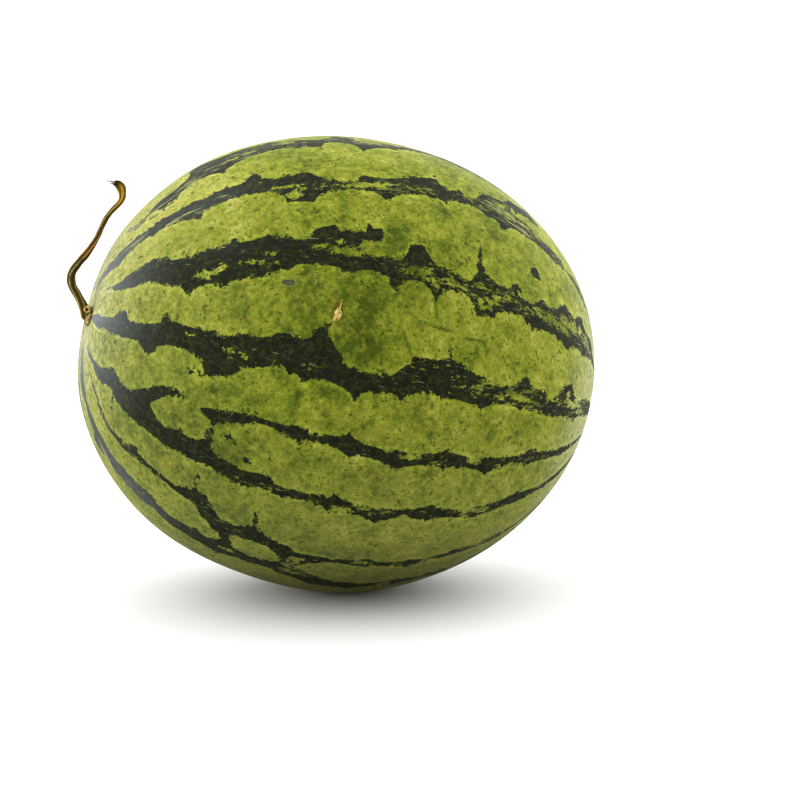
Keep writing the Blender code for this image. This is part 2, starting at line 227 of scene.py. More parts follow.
# Their edges in degrees: where they start and end, the steps from cusp to cusp, the stretch at either pole
# where they narrow, and how wide they are at their ends
FIRST_POINT = (4, 8)
FIRST_STEP = (2, 4)
CUSP_STEPS = (2.5, 5, 8, 11, 13)
LAST_CUSP = 172
STRIPE_END = 174
NARROW_FROM = -2
NARROW_TO = 178
STEM_NARROWING = 24
BLOSSOM_NARROWING = 16
STEM_END_HALF_WIDTH = 1.5
BLOSSOM_END_SHARE = 0.3
NARROWEST_SHARE = 0.35

# What chance gives them: sway in degrees, waves from pole to pole, and shares of a width, a step and a depth
SWAY = (1.0, 2.6)
WAVES = (1.0, 2.2)
WIDTH_CHANCE = (0.75, 1.3)
STEP_CHANCE = (0.8, 1.2)
DEPTH_CHANCE = (0.3, 1.0)
DEPTH_PER_STEP = 0.42
DEPTH_PER_WIDTH = 0.8
CUSP_OUTWARDS = 0.55

# How many marks of each kind a hidden stripe has, in it or beside it
ISLANDS_EACH = 6
FLECKED_EACH = 4
STROKES_EACH = 3
CLOUDS_EACH = 3

# Dark strokes in the pale ground: from along, around to along, around, half width in mm at either end
DARK_STROKES = (
    (52.9, -21, 53.5, -18, 1.6, 1.1), (53.5, -18, 53.9, -15, 1.1, 1.9), (54.2, -24.5, 53.2, -20.5, 2.2, 1.4),
    (54.1, -34.3, 54.2, -40.8, 0.5, 1.1), (80.6, -51.5, 84.6, -57.3, 0.9, 0.9),
    (86.3, -50.3, 83.4, -55, 1.3, 1.0), (84.4, -56.6, 91, -60.2, 1.2, 1.5),
    (85.6, -51, 88.6, -50.4, 1.6, 1.3), (26.4, -30.5, 27.4, -38, 0.7, 0.6),
    (44.6, -3.5, 47.3, -4.6, 0.5, 0.6), (45.2, -4.9, 46.2, -3.2, 0.4, 0.4), (46.6, -3, 48.4, -4.4, 0.5, 0.7),
    (127.1, 45.8, 128.4, 44.9, 2.9, 1.3), (65.7, -64, 65.9, -70, 0.5, 0.3), (14, -29, 10, -36, 0.3, 0.3),
    (10, -36, 7, -45, 0.3, 0.2), (4.5, 104, 12, 94, 0.2, 0.4), (12, 94, 20, 90, 0.4, 0.3),
    (7, 92, 14, 84, 0.2, 0.35), (14, 84, 21, 80, 0.35, 0.2), (9, 60, 14, 56, 0.1, 0.3),
    (11, 38.6, 13, 37.6, 0.1, 0.5), (7, -66, 13, -54, 0.2, 0.3), (6.5, -110, 12, -100, 0.3, 0.4),
    (33, 70.2, 35.5, 70.6, 0.3, 0.6), (38, 68.6, 38.8, 69, 0.5, 0.4), (35.5, 88, 38.5, 90, 0.4, 0.4),
    (94, 89.5, 108, 85, 0.6, 0.9), (130.5, 62.2, 134, 62, 0.7, 0.6), (17.5, 66.5, 22.5, 67, 0.3, 0.3),
    (69.2, 47.8, 70.2, 46.6, 0.5, 0.3), (27.5, 70.3, 31, 69.2, 0.5, 0.6),
    (56.6, -18.6, 57.8, -18.8, 1.0, 1.2), (59.3, -18.6, 59.5, -19.9, 0.5, 0.6),
    (63.0, -23.7, 64.4, -23.9, 1.0, 1.0),
)

# Pale islands inside stripes: along, around, half length and half height in degrees, lean in degrees
PALE_ISLANDS = (
    (44.0, 27.4, 2.1, 1.5, -8), (47.7, 29.1, 1.7, 1.0, 30), (46, 28.2, 1.5, 0.9, 25),
    (54.8, 31, 1.0, 0.3, 0), (59, 30.7, 1.4, 0.35, 0), (59.4, 33.4, 1.1, 0.3, 0),
    (71.5, 35.8, 1.6, 0.45, 10), (75.6, 37.6, 0.9, 0.8, 0), (77.8, 34.9, 0.9, 0.8, 0),
    (74.4, 34.6, 1.0, 0.4, 0), (80.2, 34.5, 1.1, 0.6, 0), (91.5, 31.9, 1.8, 0.5, -5),
    (94.8, 33, 1.4, 0.6, 0), (98, 31.5, 1.2, 0.4, 0), (111.5, 28.9, 0.6, 1.2, 0), (113.6, 30.2, 1.4, 0.5, 0),
    (114.4, 28.8, 0.5, 0.9, 0), (112.6, 28, 1.0, 0.4, 0), (138.3, 33, 1.7, 0.8, -8),
    (141.4, 36.6, 2.6, 1.1, 12), (142.8, 39, 1.4, 1.1, 30), (146.2, 39.5, 0.8, 2.0, 10),
    (149.8, 40.5, 0.6, 1.8, 0), (63, 56.9, 2.2, 0.45, 0), (64.3, 53.3, 1.8, 1.5, 0),
    (66.2, 55.5, 1.2, 0.6, 0), (77.4, 56.2, 3.0, 0.5, 3), (84.2, 57.3, 1.6, 0.9, 0),
    (86.4, 58.2, 1.2, 0.6, 0), (117.6, 66, 1.5, 1.0, 20), (119.5, 63.9, 1.8, 0.6, 10),
    (124.5, 63.9, 1.5, 0.6, 0), (121.4, 67.5, 0.6, 1.3, 0), (63.5, 85.3, 2.4, 1.5, 0),
    (54.8, 83.8, 1.8, 0.7, 0), (50.8, 82.2, 1.4, 0.6, 0), (85, 82.4, 3.5, 0.8, 0), (42.8, 7.1, 0.7, 0.35, 0),
    (54, 4.7, 1.2, 0.35, 0), (57.2, 3.6, 0.8, 0.35, 0), (144.8, 10.9, 0.8, 1.5, 0), (148, 8, 1.6, 0.7, -10),
    (151.5, 8.4, 1.6, 1.2, 0), (153.5, 5.6, 1.8, 0.8, 0), (126.7, 6.6, 1.8, 0.5, 0),
    (84.5, -59.2, 1.4, 0.5, 0), (82.3, -58.6, 1.4, 0.9, 0), (67.2, -59.2, 1.4, 0.5, 0),
    (11.2, 84, 0.5, 4, 0), (12.3, 75, 0.4, 3, 0), (101, -12.5, 2.2, 0.7, 5), (118, -12, 1.8, 0.9, -6),
    (128, -14, 2.6, 0.6, 4), (88, -29.5, 2.4, 0.7, 4), (104, -30, 1.6, 0.8, 0), (121, -28.5, 2.4, 0.6, -5),
    (99, -48.5, 2.2, 0.9, 6), (117, -49.5, 1.6, 0.8, 0), (130, -48, 2.4, 0.6, -6), (108, -63, 2.4, 0.8, 4),
    (126, -62.5, 1.8, 0.8, 0),
)

# Where pale flecks crowd a stripe: along, around, reach along and around in degrees, strength
FLECKED = (
    (43, 54.2, 6, 1.6, 1.1), (50, 61, 5, 1.4, 0.5), (63, 57, 5, 2, 0.35), (78, 56.6, 8, 1.0, 0.9),
    (84, 56.8, 5, 1.4, 1.1), (94, 59, 5, 1.5, 1.2), (104, 60.6, 6, 1.4, 0.5), (114, 61.5, 6, 2.5, 0.6),
    (119, 66, 5, 3, 0.9), (133, 62, 8, 2, 0.9), (146, 62, 5, 3, 0.8), (75, 35, 5, 2, 1.1),
    (81, 36, 5, 1.6, 0.9), (93, 33, 5, 2, 1.1), (101, 32.5, 6, 1.8, 1.0), (113, 30, 4, 2.4, 0.8),
    (117, 33.5, 5, 2, 1.1), (129, 33, 5, 2.2, 1.2), (137, 35, 6, 3, 0.9), (145, 38, 6, 4, 0.95),
    (152, 38, 4, 4, 0.8), (57, 32, 7, 1.5, 0.35), (57, 4, 5, 2, 0.35), (104, 11, 6, 1.5, 0.6),
    (127, 7, 6, 2, 1.0), (149, 8, 7, 3, 1.2), (60, 83, 12, 3, 0.7), (40, 79, 8, 2.5, 0.5),
    (85, -57, 6, 4, 1.1), (58, -50, 6, 3, 0.5), (34, -47, 6, 2, 1.2), (108, -12, 8, 2, 0.9),
    (134, -12, 8, 2, 1.1), (96, -29, 8, 2, 0.8), (126, -29, 9, 2, 1.1), (108, -49, 9, 2, 0.9),
    (138, -48, 8, 3, 1.1), (116, -63, 12, 3, 0.9), (100, 11, 12, 2.5, 0.35), (125, 9, 12, 3, 0.4),
    (142, 11, 8, 3, 0.4), (100, 29, 10, 3, 0.3), (70, 6, 8, 2, 0.5), (90, 4, 7, 2, 0.4), (115, 6, 9, 2, 0.8),
    (38, 4, 7, 2, 0.15), (34, 32, 8, 2, 0.4), (38, 36, 7, 2, 0.3), (58, -47, 7, 3, 0.7),
    (102, 27.5, 6, 2, 0.9), (56, -22, 4, 2.5, 0.5), (64, -29, 5, 2, 0.7), (46, -61, 9, 3, 0.8),
    (66, 85, 8, 2, 0.5),
)

# Clouds in the pale ground, darker above 0 and paler below, partly the ground's own tone and partly painted
# shade, as in the dark ones on the front's middle: along, around, reach in degrees, strength
GROUND_CLOUDS_AND_SHADE = (
    (82, 21, 11, 0.75), (70, 17, 9, 0.45), (89, 37.5, 5, 1.4), (78, 12, 6, 0.5), (92, 20, 9, 0.5),
    (62, 18, 8, 0.15), (112, 17, 8, 0.2), (46, 16, 6, 0.15), (55, 20, 7, -0.3), (63, 66, 6, 0.2),
    (58, -16, 8, 0.3), (62, -22, 5, 0.35), (70, -38, 9, 0.4), (50, -8, 6, 0.25), (80, -43, 8, 0.35),
    (100, 44, 6, 0.25), (110, 52, 5, 0.3), (25, 45, 14, -0.6), (12, 20, 12, -0.9), (16, -14, 9, 0.7),
    (46, 55, 10, -0.6), (75, 68, 9, -0.25), (150, 22, 10, -0.35), (132, 50, 8, -0.2), (135, 20, 7, -0.25),
    (30, 75, 12, -0.7), (28, -8, 8, -0.2), (25, 62, 13, -0.6), (26, -16, 12, 1.0), (52, -27, 11, 0.5),
    (24, -50, 10, -1.1), (70, 52, 7, 0.2), (30, 16, 7, -0.7), (46, -46, 12, 0.5),
    (44, 10, 9, 0.2), (78, 28, 7, 0.3), (126, 42, 8, 0.8), (104, 20, 9, -0.6), (120, 24, 7, -0.4),
    (44, 76, 7, -0.8), (136, 68, 12, -0.8), (34, 30, 8, 0.8), (18, 14, 7, 0.6), (32, -31, 6, 0.9),
    (64, 40, 7, 0.5), (66, 75.6, 7, 0.9),
)

# Where fine pale hair lines run along the stripes, partly the rind's own lines and partly painted sheen:
# along, around, reach along and around in degrees, strength
HAIR_AND_SHEEN_PLACES = (
    (30, 76, 12, 5, 0.6), (22, 80, 8, 6, 0.6), (42, 76, 8, 3, 0.3), (54, 81, 14, 4, 0.4),
    (10, 92, 5, 12, 0.6), (22, 61, 6, 3, 0.4), (31, 57, 8, 2.2, 0.75), (41, 55, 9, 2.4, 0.8),
    (60, 86, 20, 4, 0.35), (100, 84, 20, 4, 0.8), (40, -68, 10, 4, 0.6), (56, -47, 8, 3, 0.2),
    (30, -67, 8, 5, 0.4), (28, -46, 8, 4, 0.5), (15, 36, 4, 3, 0.7), (86, 56, 12, 3, 0.4),
    (120, 62, 14, 6, 0.9), (118, 7, 14, 4, 0.4),
)

# The tan streak that runs from the stem's foot down the rind: as the dark strokes
TAN_STROKES = ((1.0, -80, 3.5, -98, 1.5, 1.7), (3.5, -98, 8.5, -97, 1.7, 1.0))

# Pale scratches and a grey healed spot in the rind: as the dark strokes
SCRATCHES = (
    (69.6, 30.2, 70.6, 26.5, 0.25, 0.45), (70.6, 26.5, 71.6, 21.5, 0.45, 0.3),
    (87.5, 16.5, 90.5, 11, 0.25, 0.3), (60, 12.5, 68, 12.2, 0.15, 0.2), (5, -32, 15, -28, 0.45, 0.4),
    (5, -14, 12, -13, 0.3, 0.3), (7, -48, 16, -39, 0.4, 0.3), (9, 30, 15, 27, 0.3, 0.2),
    (6, 70, 12, 58, 0.3, 0.3), (8, 104, 16, 95, 0.3, 0.35), (10, 84, 17, 76, 0.2, 0.3),
)
HEALED_STROKES = ((63.7, 25.3, 65.4, 25.2, 1.3, 1.3),)

# The dark brown round the scab, partly a stain and partly painted shadow of the raised scab: as the dark
# strokes
SCAB_STAIN_AND_SHADOW = (
    (76.0, 21.3, 76.5, 19.8, 0.4, 1.1), (77.6, 20.6, 77.8, 18.0, 0.4, 0.6),
    (77.0, 21.5, 77.3, 20.6, 0.3, 0.5),
)

# Dark green seams in the ground: as the dark strokes, and faint where the half width is below nought
SEAMS = (
    (93, 22.2, 97, 20.2, -0.1, 0.0), (97, 20.2, 104.2, 19.6, 0.1, 0.25), (108.7, 18.8, 114, 19.3, 0.1, 0.15),
    (90, 18.8, 92.5, 17.8, -0.2, 0.0), (92.5, 17.8, 94.5, 14.2, 0.0, 0.15),
    (94.5, 14.2, 96.4, 10.8, 0.15, 0.2), (99.9, 25.4, 100.6, 21.8, 0.4, 0.0),
    (126.5, 15.0, 128.0, 12.0, 0.0, 0.15), (104.6, 18, 104.9, 13.5, -0.2, 0.0),
)

# Where a grey bloom lies on the stripes beside the one round the stem: as the flecks
GREYED = ((37, -64, 8, 6, 0.38), (48, -62, 6, 6, 0.12), (42, 58, 8, 6, 0.18), (44, 40, 7, 4, 0.12))

# Finishes, as linear colours
GROUND_STOPS = (
    (0.24, (0.046, 0.068, 0.005)),
    (0.38, (0.094, 0.120, 0.009)),
    (0.52, (0.150, 0.178, 0.014)),
    (0.66, (0.196, 0.218, 0.021)),
    (0.84, (0.270, 0.275, 0.048)),
)
GROUND_PALE = (0.305, 0.315, 0.145)
GROUND_PINK = (0.35, 0.29, 0.17)
# Painted shade: a greyer, duller tint over the ground towards the stem and towards the bottom
GROUND_SHADE_DULL = (0.165, 0.165, 0.056)
# Painted shade: a darker brown over the ground near the floor, where the underside lies in shade
UNDER_SHADE_BROWN = (0.070, 0.066, 0.022)
RAY_GREEN = (0.080, 0.108, 0.040)
TAN_STREAK = (0.26, 0.21, 0.095)
SPECK_COLOUR = (0.026, 0.044, 0.004)
VEIN_COLOUR = (0.062, 0.092, 0.007)
GROUND_WARM = (0.190, 0.175, 0.018)
STRIPE_DARK = (0.0088, 0.0104, 0.0052)
STRIPE_GREEN = (0.028, 0.037, 0.006)
STRIPE_GREY = (0.026, 0.030, 0.022)
BLOOM_GREY = (0.115, 0.126, 0.128)
HEALED_GREY = (0.072, 0.078, 0.052)
SCRATCH_PALE = (0.230, 0.225, 0.075)
# The pale of the hair lines, partly painted sheen
HAIR_AND_SHEEN_PALE = (0.27, 0.29, 0.18)
SCAR_BROWN = (0.085, 0.060, 0.030)
GROUND_SPOT = (0.42, 0.38, 0.18)
SCAB_STOPS = ((0.34, (0.15, 0.075, 0.015)), (0.50, (0.40, 0.32, 0.060)), (0.66, (0.60, 0.54, 0.20)))
SCAB_OUTLINE = (0.060, 0.026, 0.006)


def unit(vectors):
    return vectors / np.linalg.norm(vectors, axis=-1, keepdims=True)


def full_turn(count):
    """Angles in radians at even steps once round."""
    return np.arange(count) * 2 * math.pi / count


def wrapped(degrees):
    """Angles brought to between -180 and 180 degrees."""
    return (degrees + 180) % 360 - 180


def direction(along, around):
    """The unit vector at an angle along from the stem pole and an angle around it from the front."""
    along = np.radians(along)[..., None]
    around = np.radians(around)[..., None]
    across = np.cos(around) * POLE_FRONT + np.sin(around) * POLE_UP
    return np.cos(along) * STEM_POLE + np.sin(along) * across


def bell(distance, width):
    """A smooth hump of height 1: e to the power of minus half the squared distance over the width."""
    return np.exp(-0.5 * (distance / width) ** 2)


def rind_radius(directions):
    """Distance from the fruit's middle to its skin: an ellipsoid's radius with dips, ribs and swellings."""
    lengthwise = directions @ LONG_AXIS
    radius = ((lengthwise / (FRUIT_LENGTH / 2)) ** 2 + (1 - lengthwise**2) / (FRUIT_WIDTH / 2) ** 2) ** -0.5
    from_stem = np.degrees(np.arccos(np.clip(directions @ STEM_POLE, -1, 1)))
    from_blossom = 180 - from_stem
    for height, width in (STEM_BASIN, STEM_DIMPLE):
        radius = radius + height * bell(from_stem, width)
    for height, width in (BLOSSOM_BASIN, BLOSSOM_BUTTON):
        radius = radius + height * bell(from_blossom, width)
    radius = radius + BLOSSOM_RIM[0] * bell(from_blossom - BLOSSOM_RIM[1], BLOSSOM_RIM[2])
    around = np.arctan2(directions @ POLE_UP, directions @ POLE_FRONT)
    radius = radius + RIB_HEIGHT * np.cos(RIB_COUNT * around) * np.sin(np.radians(from_stem)) ** 2
    for along_at, around_at, height, width in SWELLINGS:
        middle = direction(np.array(along_at), np.array(around_at))
        apart = np.degrees(np.arccos(np.clip(directions @ middle, -1, 1)))
        radius = radius + height * bell(apart, width)
    return radius


def on_rind(along, around, lift=0.0):
    """Points on the skin at these angles, or a height above it, none lower than the surface it lies on."""
    directions = direction(np.asarray(along, float), np.asarray(around, float))
    points = CENTRE + directions * (rind_radius(directions) + lift)[..., None]
    points[..., 2] = np.maximum(points[..., 2], 0.0)
    return points


# The stripes' pattern

LOBE_POWER = 2.3
EDGE_STEP = 0.3
DEEPEST_MM = 6.0
OUTSIDE_MM = -2.0
FAR_OUTSIDE_MM = -50.0
STRIPE_REACH = 42
POINTS_AT_ONCE = 8192


def scalloped(points, into_stripe):
    """A stripe's edge as a fine line: straight from point to point or, from a point that has a depth, pushed
    into the stripe by one lobe on the way. The lobe is a superellipse: the depth times a root of 1 less a
    power of the distance from the lobe's middle."""
    pieces = []
    for (a0, b0, *depths), (a1, b1, *_) in zip(points, points[1:]):
        depth = sum(depths)
        count = max(2, math.ceil(math.hypot(a1 - a0, b1 - b0) / EDGE_STEP))
        steps = np.arange(count)
        t = (1 - np.cos(np.pi * steps / count)) / 2 if depth else steps / count
        lobe = (1 - np.abs(2 * t - 1) ** LOBE_POWER) ** (1 / LOBE_POWER)
        pieces.append(np.stack([a0 + (a1 - a0) * t, b0 + (b1 - b0) * t + into_stripe * depth * lobe], axis=1))
    pieces.append(np.array([points[-1][:2]], float))
    return np.concatenate(pieces)


def grown_edges(middle, half_width, chance):
    """The two edges of a hidden stripe: cusps at uneven steps round a wandering middle, which draw together
    towards either pole, and lobes of chance depth between them."""
    edges = []
    sway = chance.uniform(*SWAY)
    waves = chance.uniform(*WAVES)
    start = chance.uniform(0, 2 * math.pi)
    for side in (1, -1):
        along = chance.uniform(*FIRST_POINT)
        points = [(along, middle + side * STEM_END_HALF_WIDTH)]
        along += chance.uniform(*FIRST_STEP)
        while along < LAST_CUSP:
            from_stem = (along - NARROW_FROM) / STEM_NARROWING
            from_blossom = (NARROW_TO - along) / BLOSSOM_NARROWING
            ends = min(1.0, from_stem, from_blossom)
            wander = sway * math.sin(start + waves * 2 * math.radians(along))
            narrowed = NARROWEST_SHARE + (1 - NARROWEST_SHARE) * ends
            reach = half_width * narrowed * chance.uniform(*WIDTH_CHANCE)
            step = chance.choice(CUSP_STEPS) * chance.uniform(*STEP_CHANCE)
            deepest = min(DEPTH_PER_STEP * step, DEPTH_PER_WIDTH * half_width)
            depth = deepest * chance.uniform(*DEPTH_CHANCE) * ends
            points.append((along, middle + wander + side * (reach + CUSP_OUTWARDS * depth), depth))
            along += step
        points.append((STRIPE_END, middle + side * BLOSSOM_END_SHARE * half_width))
        edges.append(tuple(points))
    return edges


def grown_marks(chance):
    """Marks for the hidden sides: islands and flecks inside each stripe, strokes out of its edges into the
    ground, and clouds in the ground between them."""
    draw = chance.uniform
    islands, flecks, strokes, clouds = [], [], [], []
    for middle, half_width in HIDDEN_STRIPES:
        for _ in range(ISLANDS_EACH):
            place = (draw(28, 152), middle + draw(-0.5, 0.5) * half_width)
            islands.append((*place, draw(1.0, 2.8), draw(0.4, 1.3), draw(-15, 15)))
        for _ in range(FLECKED_EACH):
            place = (draw(25, 155), middle + draw(-0.4, 0.4) * half_width)
            flecks.append((*place, draw(4, 9), 0.5 * half_width, draw(0.6, 1.3)))
        for _ in range(STROKES_EACH):
            along = draw(30, 150)
            side = chance.choice([-1, 1])
            root = middle + side * 0.8 * half_width
            tip = middle + side * (half_width + draw(2, 7))
            strokes.append((along, root, along + draw(-4, 4), tip, draw(1.2, 2.4), draw(0.3, 1.0)))
        for _ in range(CLOUDS_EACH):
            place = (draw(20, 160), middle + draw(8, 16))
            clouds.append((*place, draw(5, 11), draw(-0.3, 0.6)))
    return islands, flecks, strokes, clouds


def nearest_mm(points, line):
    """How far in millimetres each point is from the nearest point of a fine line."""
    squares = (line**2).sum(axis=1)
    nearest = np.empty(len(points))
    for first in range(0, len(points), POINTS_AT_ONCE):
        block = points[first:first + POINTS_AT_ONCE]
        apart = (block**2).sum(axis=1)[:, None] + squares - 2 * block @ line.T
        nearest[first:first + len(block)] = np.sqrt(np.maximum(apart.min(axis=1), 0))
    return nearest


def beyond_edge(along, around, line, above):
    """Whether each place on the grid has the edge line above it, or else below it: it crosses an odd number
    of the line's steps on its way up or down."""
    a0, a1 = line[:-1, 0], line[1:, 0]
    b0, b1 = line[:-1, 1], line[1:, 1]
    row = along[:, None]
    crossed = (a0 <= row) != (a1 <= row)
    span = np.where(a1 == a0, 1.0, a1 - a0)
    crossing = np.where(crossed, b0 + (row - a0) / span * (b1 - b0), np.nan)
    inside = np.zeros((len(along), len(around)), bool)
    for k, values in enumerate(crossing):
        hits = values[~np.isnan(values)]
        apart = hits[None] - around[:, None]
        inside[k] = ((apart > 0) if above else (apart < 0)).sum(axis=1) % 2 == 1
    return inside


def edge_distances(along, around, skin_mm):
    """How many millimetres each place on the grid is inside the upper and the lower edge of its stripe."""
    chance = np.random.default_rng(HIDDEN_SEED)
    stripes = list(SEEN_STRIPES)
    for middle, half_width in HIDDEN_STRIPES:
        stripes.append((middle, *grown_edges(middle, half_width, chance)))
    best_upper = np.full((len(along), len(around)), FAR_OUTSIDE_MM)
    best_lower = best_upper.copy()
    for middle, upper, lower in stripes:
        turned = wrapped(around - middle) + middle
        near = np.abs(turned - middle) < STRIPE_REACH
        found = []
        for points, into_stripe, above in ((upper, -1, True), (lower, 1, False)):
            line = scalloped(points, into_stripe)
            inside = beyond_edge(along, turned[near], line, above)
            apart = nearest_mm(skin_mm[:, near].reshape(-1, 3), on_rind(line[:, 0], line[:, 1]) * MM)
            found.append(np.where(inside, 1, -1) * apart.reshape(inside.shape))
        better = np.minimum(*found) > np.minimum(best_upper[:, near], best_lower[:, near])
        best_upper[:, near] = np.where(better, found[0], best_upper[:, near])
        best_lower[:, near] = np.where(better, found[1], best_lower[:, near])
    inner = np.minimum(best_upper, best_lower)
    far = inner < OUTSIDE_MM
    best_upper = np.where(far, inner, np.minimum(best_upper, DEEPEST_MM))
    best_lower = np.where(far, inner, np.minimum(best_lower, DEEPEST_MM))
    return best_upper, best_lower


def stroke_depth(skin_mm, strokes):
    """How many millimetres each point is inside the nearest stroke: its tapering half width less the distance
    to the straight line between its ends."""
    depth = np.full(skin_mm.shape[:-1], FAR_OUTSIDE_MM)
    for a0, b0, a1, b1, wide0, wide1 in strokes:
        start, end = on_rind([a0, a1], [b0, b1]) * MM
        way = end - start
        t = np.clip((skin_mm - start) @ way / (way @ way), 0, 1)
        apart = np.linalg.norm(skin_mm - start - t[..., None] * way, axis=-1)
        depth = np.maximum(depth, wide0 + (wide1 - wide0) * t - apart)
    return depth


def island_depth(along, around, islands):
    """How many millimetres each place is inside the nearest island: 1 less the ellipse's own measure, times
    its smaller half width. An island's axes are turned by its lean."""
    depth = np.full((len(along), len(around)), FAR_OUTSIDE_MM)
    for a0, b0, half_length, half_height, lean in islands:
        squash = math.sin(math.radians(a0))
        turn = math.radians(lean)
        x = (along[:, None] - a0) * MM_PER_DEGREE
        y = wrapped(around - b0)[None] * MM_PER_DEGREE * squash
        u = (x * math.cos(turn) + y * math.sin(turn)) / (half_length * MM_PER_DEGREE)
        v = (y * math.cos(turn) - x * math.sin(turn)) / (half_height * MM_PER_DEGREE * squash)
        narrow = min(half_length, half_height * squash) * MM_PER_DEGREE
        depth = np.maximum(depth, (1 - np.hypot(u, v)) * narrow)
    return depth


def soft_sum(along, around, spots):
    """The sum of soft spots, each a bell over its reach along and around, times its strength. A spot with
    only one reach is round."""
    total = np.zeros((len(along), len(around)))
    for a0, b0, *reaches, strength in spots:
        squash = math.sin(math.radians(a0)) if len(reaches) == 1 else 1.0
        upward = bell(wrapped(around - b0) * squash, reaches[-1])
        total += strength * bell(along - a0, reaches[0])[:, None] * upward[None]
    return total


# Meshes

# A low piece's underside: its rim again, and a ring halfway in, as shares of its reach
UNDERSIDE_RINGS = np.array([[1.0], [0.5]])


def mesh_piece(name, points, faces, attributes=()):
    """A smooth-shaded object at the origin, from points, faces of three or four corners and attributes."""
    mesh = bpy.data.meshes.new(name)
    corners = np.concatenate([np.asarray(f, np.int32).ravel() for f in faces])
    sizes = np.concatenate([np.full(len(f), np.shape(f)[1], np.int32) for f in faces])
    mesh.vertices.add(len(points))
    mesh.vertices.foreach_set("co", np.asarray(points, np.float32).ravel())
    mesh.loops.add(len(corners))
    mesh.loops.foreach_set("vertex_index", corners)
    mesh.polygons.add(len(sizes))
    mesh.polygons.foreach_set("loop_start", np.concatenate([[0], np.cumsum(sizes)[:-1]]).astype(np.int32))
    mesh.update(calc_edges=True)
    mesh.validate()
    for title, values in attributes:
        layer = mesh.attributes.new(title, "FLOAT_VECTOR", "POINT")
        layer.data.foreach_set("vector", np.asarray(values, np.float32).ravel())
    mesh.shade_smooth()
    made = bpy.data.objects.new(name, mesh)
    bpy.context.scene.collection.objects.link(made)
    return made


def ring_faces(rows, columns, first=0, looped=False):
    """Four-cornered faces between rings of points that each close on themselves."""
    ring = np.arange(rows if looped else rows - 1)[:, None]
    spot = np.arange(columns)[None]
    after = (spot + 1) % columns
    above = (ring + 1) % rows
    corners = (ring * columns + spot, ring * columns + after, above * columns + after, above * columns + spot)
    return first + np.stack(corners, axis=-1).reshape(-1, 4)


def fan_faces(ring_start, columns, tip, reverse=False):
    """Three-cornered faces from a ring of points to one tip."""
    spot = np.arange(columns)
    sides = [ring_start + (spot + 1) % columns, ring_start + spot]
    if reverse:
        sides.reverse()
    return np.stack([*sides, np.full(columns, tip)], axis=-1)


def closed_faces(rows, columns, first=0):
    """Faces of a closed tube, whose rings of points come first and then the tips of its two ends."""
    tip = first + rows * columns
    start = fan_faces(first, columns, tip)
    end = fan_faces(tip - columns, columns, tip + 1, reverse=True)
    return [ring_faces(rows, columns, first), start, end]


def turned_out(obj):
    """Turns a closed piece's faces outwards when its signed volume says that they point in."""
    mesh = obj.data
    mesh.calc_loop_triangles()
    points = np.empty(len(mesh.vertices) * 3, np.float32)
    mesh.vertices.foreach_get("co", points)
    points = points.reshape(-1, 3).astype(float)
    corners = np.empty(len(mesh.loop_triangles) * 3, np.int32)
    mesh.loop_triangles.foreach_get("vertices", corners)
    a, b, c = points[corners.reshape(-1, 3)].transpose(1, 0, 2)
    if np.einsum("ij,ij->i", a, np.cross(b, c)).sum() < 0:
        mesh.flip_normals()
    return obj


def closed_piece(name, rings, tips, attributes=()):
    """A closed object from rings of points and the tips of its two ends."""
    points = np.concatenate([rings.reshape(-1, 3), tips])
    return turned_out(mesh_piece(name, points, closed_faces(*rings.shape[:2]), attributes))


def dome_steps(count):
    """How far out each ring of a dome lies, as a share: the sine of even steps from its top to its rim."""
    return np.sin(np.linspace(0, math.pi / 2, count + 1)[1:])[:, None]


# Shader nodes


class Field:
    """A number that varies over a surface. Sums, differences, products and quotients of it add Math nodes."""

    def __init__(self, finish, socket):
        self.finish = finish
        self.socket = socket

    def __add__(self, other):
        return self.finish.maths("ADD", self, other)

    __radd__ = __add__

    def __sub__(self, other):
        return self.finish.maths("SUBTRACT", self, other)

    def __rsub__(self, other):
        return self.finish.maths("SUBTRACT", other, self)

    def __mul__(self, other):
        return self.finish.maths("MULTIPLY", self, other)

    __rmul__ = __mul__

    def __truediv__(self, other):
        return self.finish.maths("DIVIDE", self, other)

    def least(self, other):
        return self.finish.maths("MINIMUM", self, other)

    def most(self, other):
        return self.finish.maths("MAXIMUM", self, other)

    def power(self, exponent):
        return self.finish.maths("POWER", self, exponent)

    def limited(self):
        return self.finish.maths("ADD", self, 0.0, use_clamp=True)

    def towards(self, other, share):
        """This field where the share is 0, the other where it is 1, and a mixture between."""
        return self + (other - self) * share

    def between(self, low, high):
        """Rises smoothly from 0 at low to 1 at high, or falls when low is the larger."""
        ends = {"From Min": low, "From Max": high}
        return self.finish.node("MapRange", {"interpolation_type": "SMOOTHSTEP"}, {"Value": self, **ends})


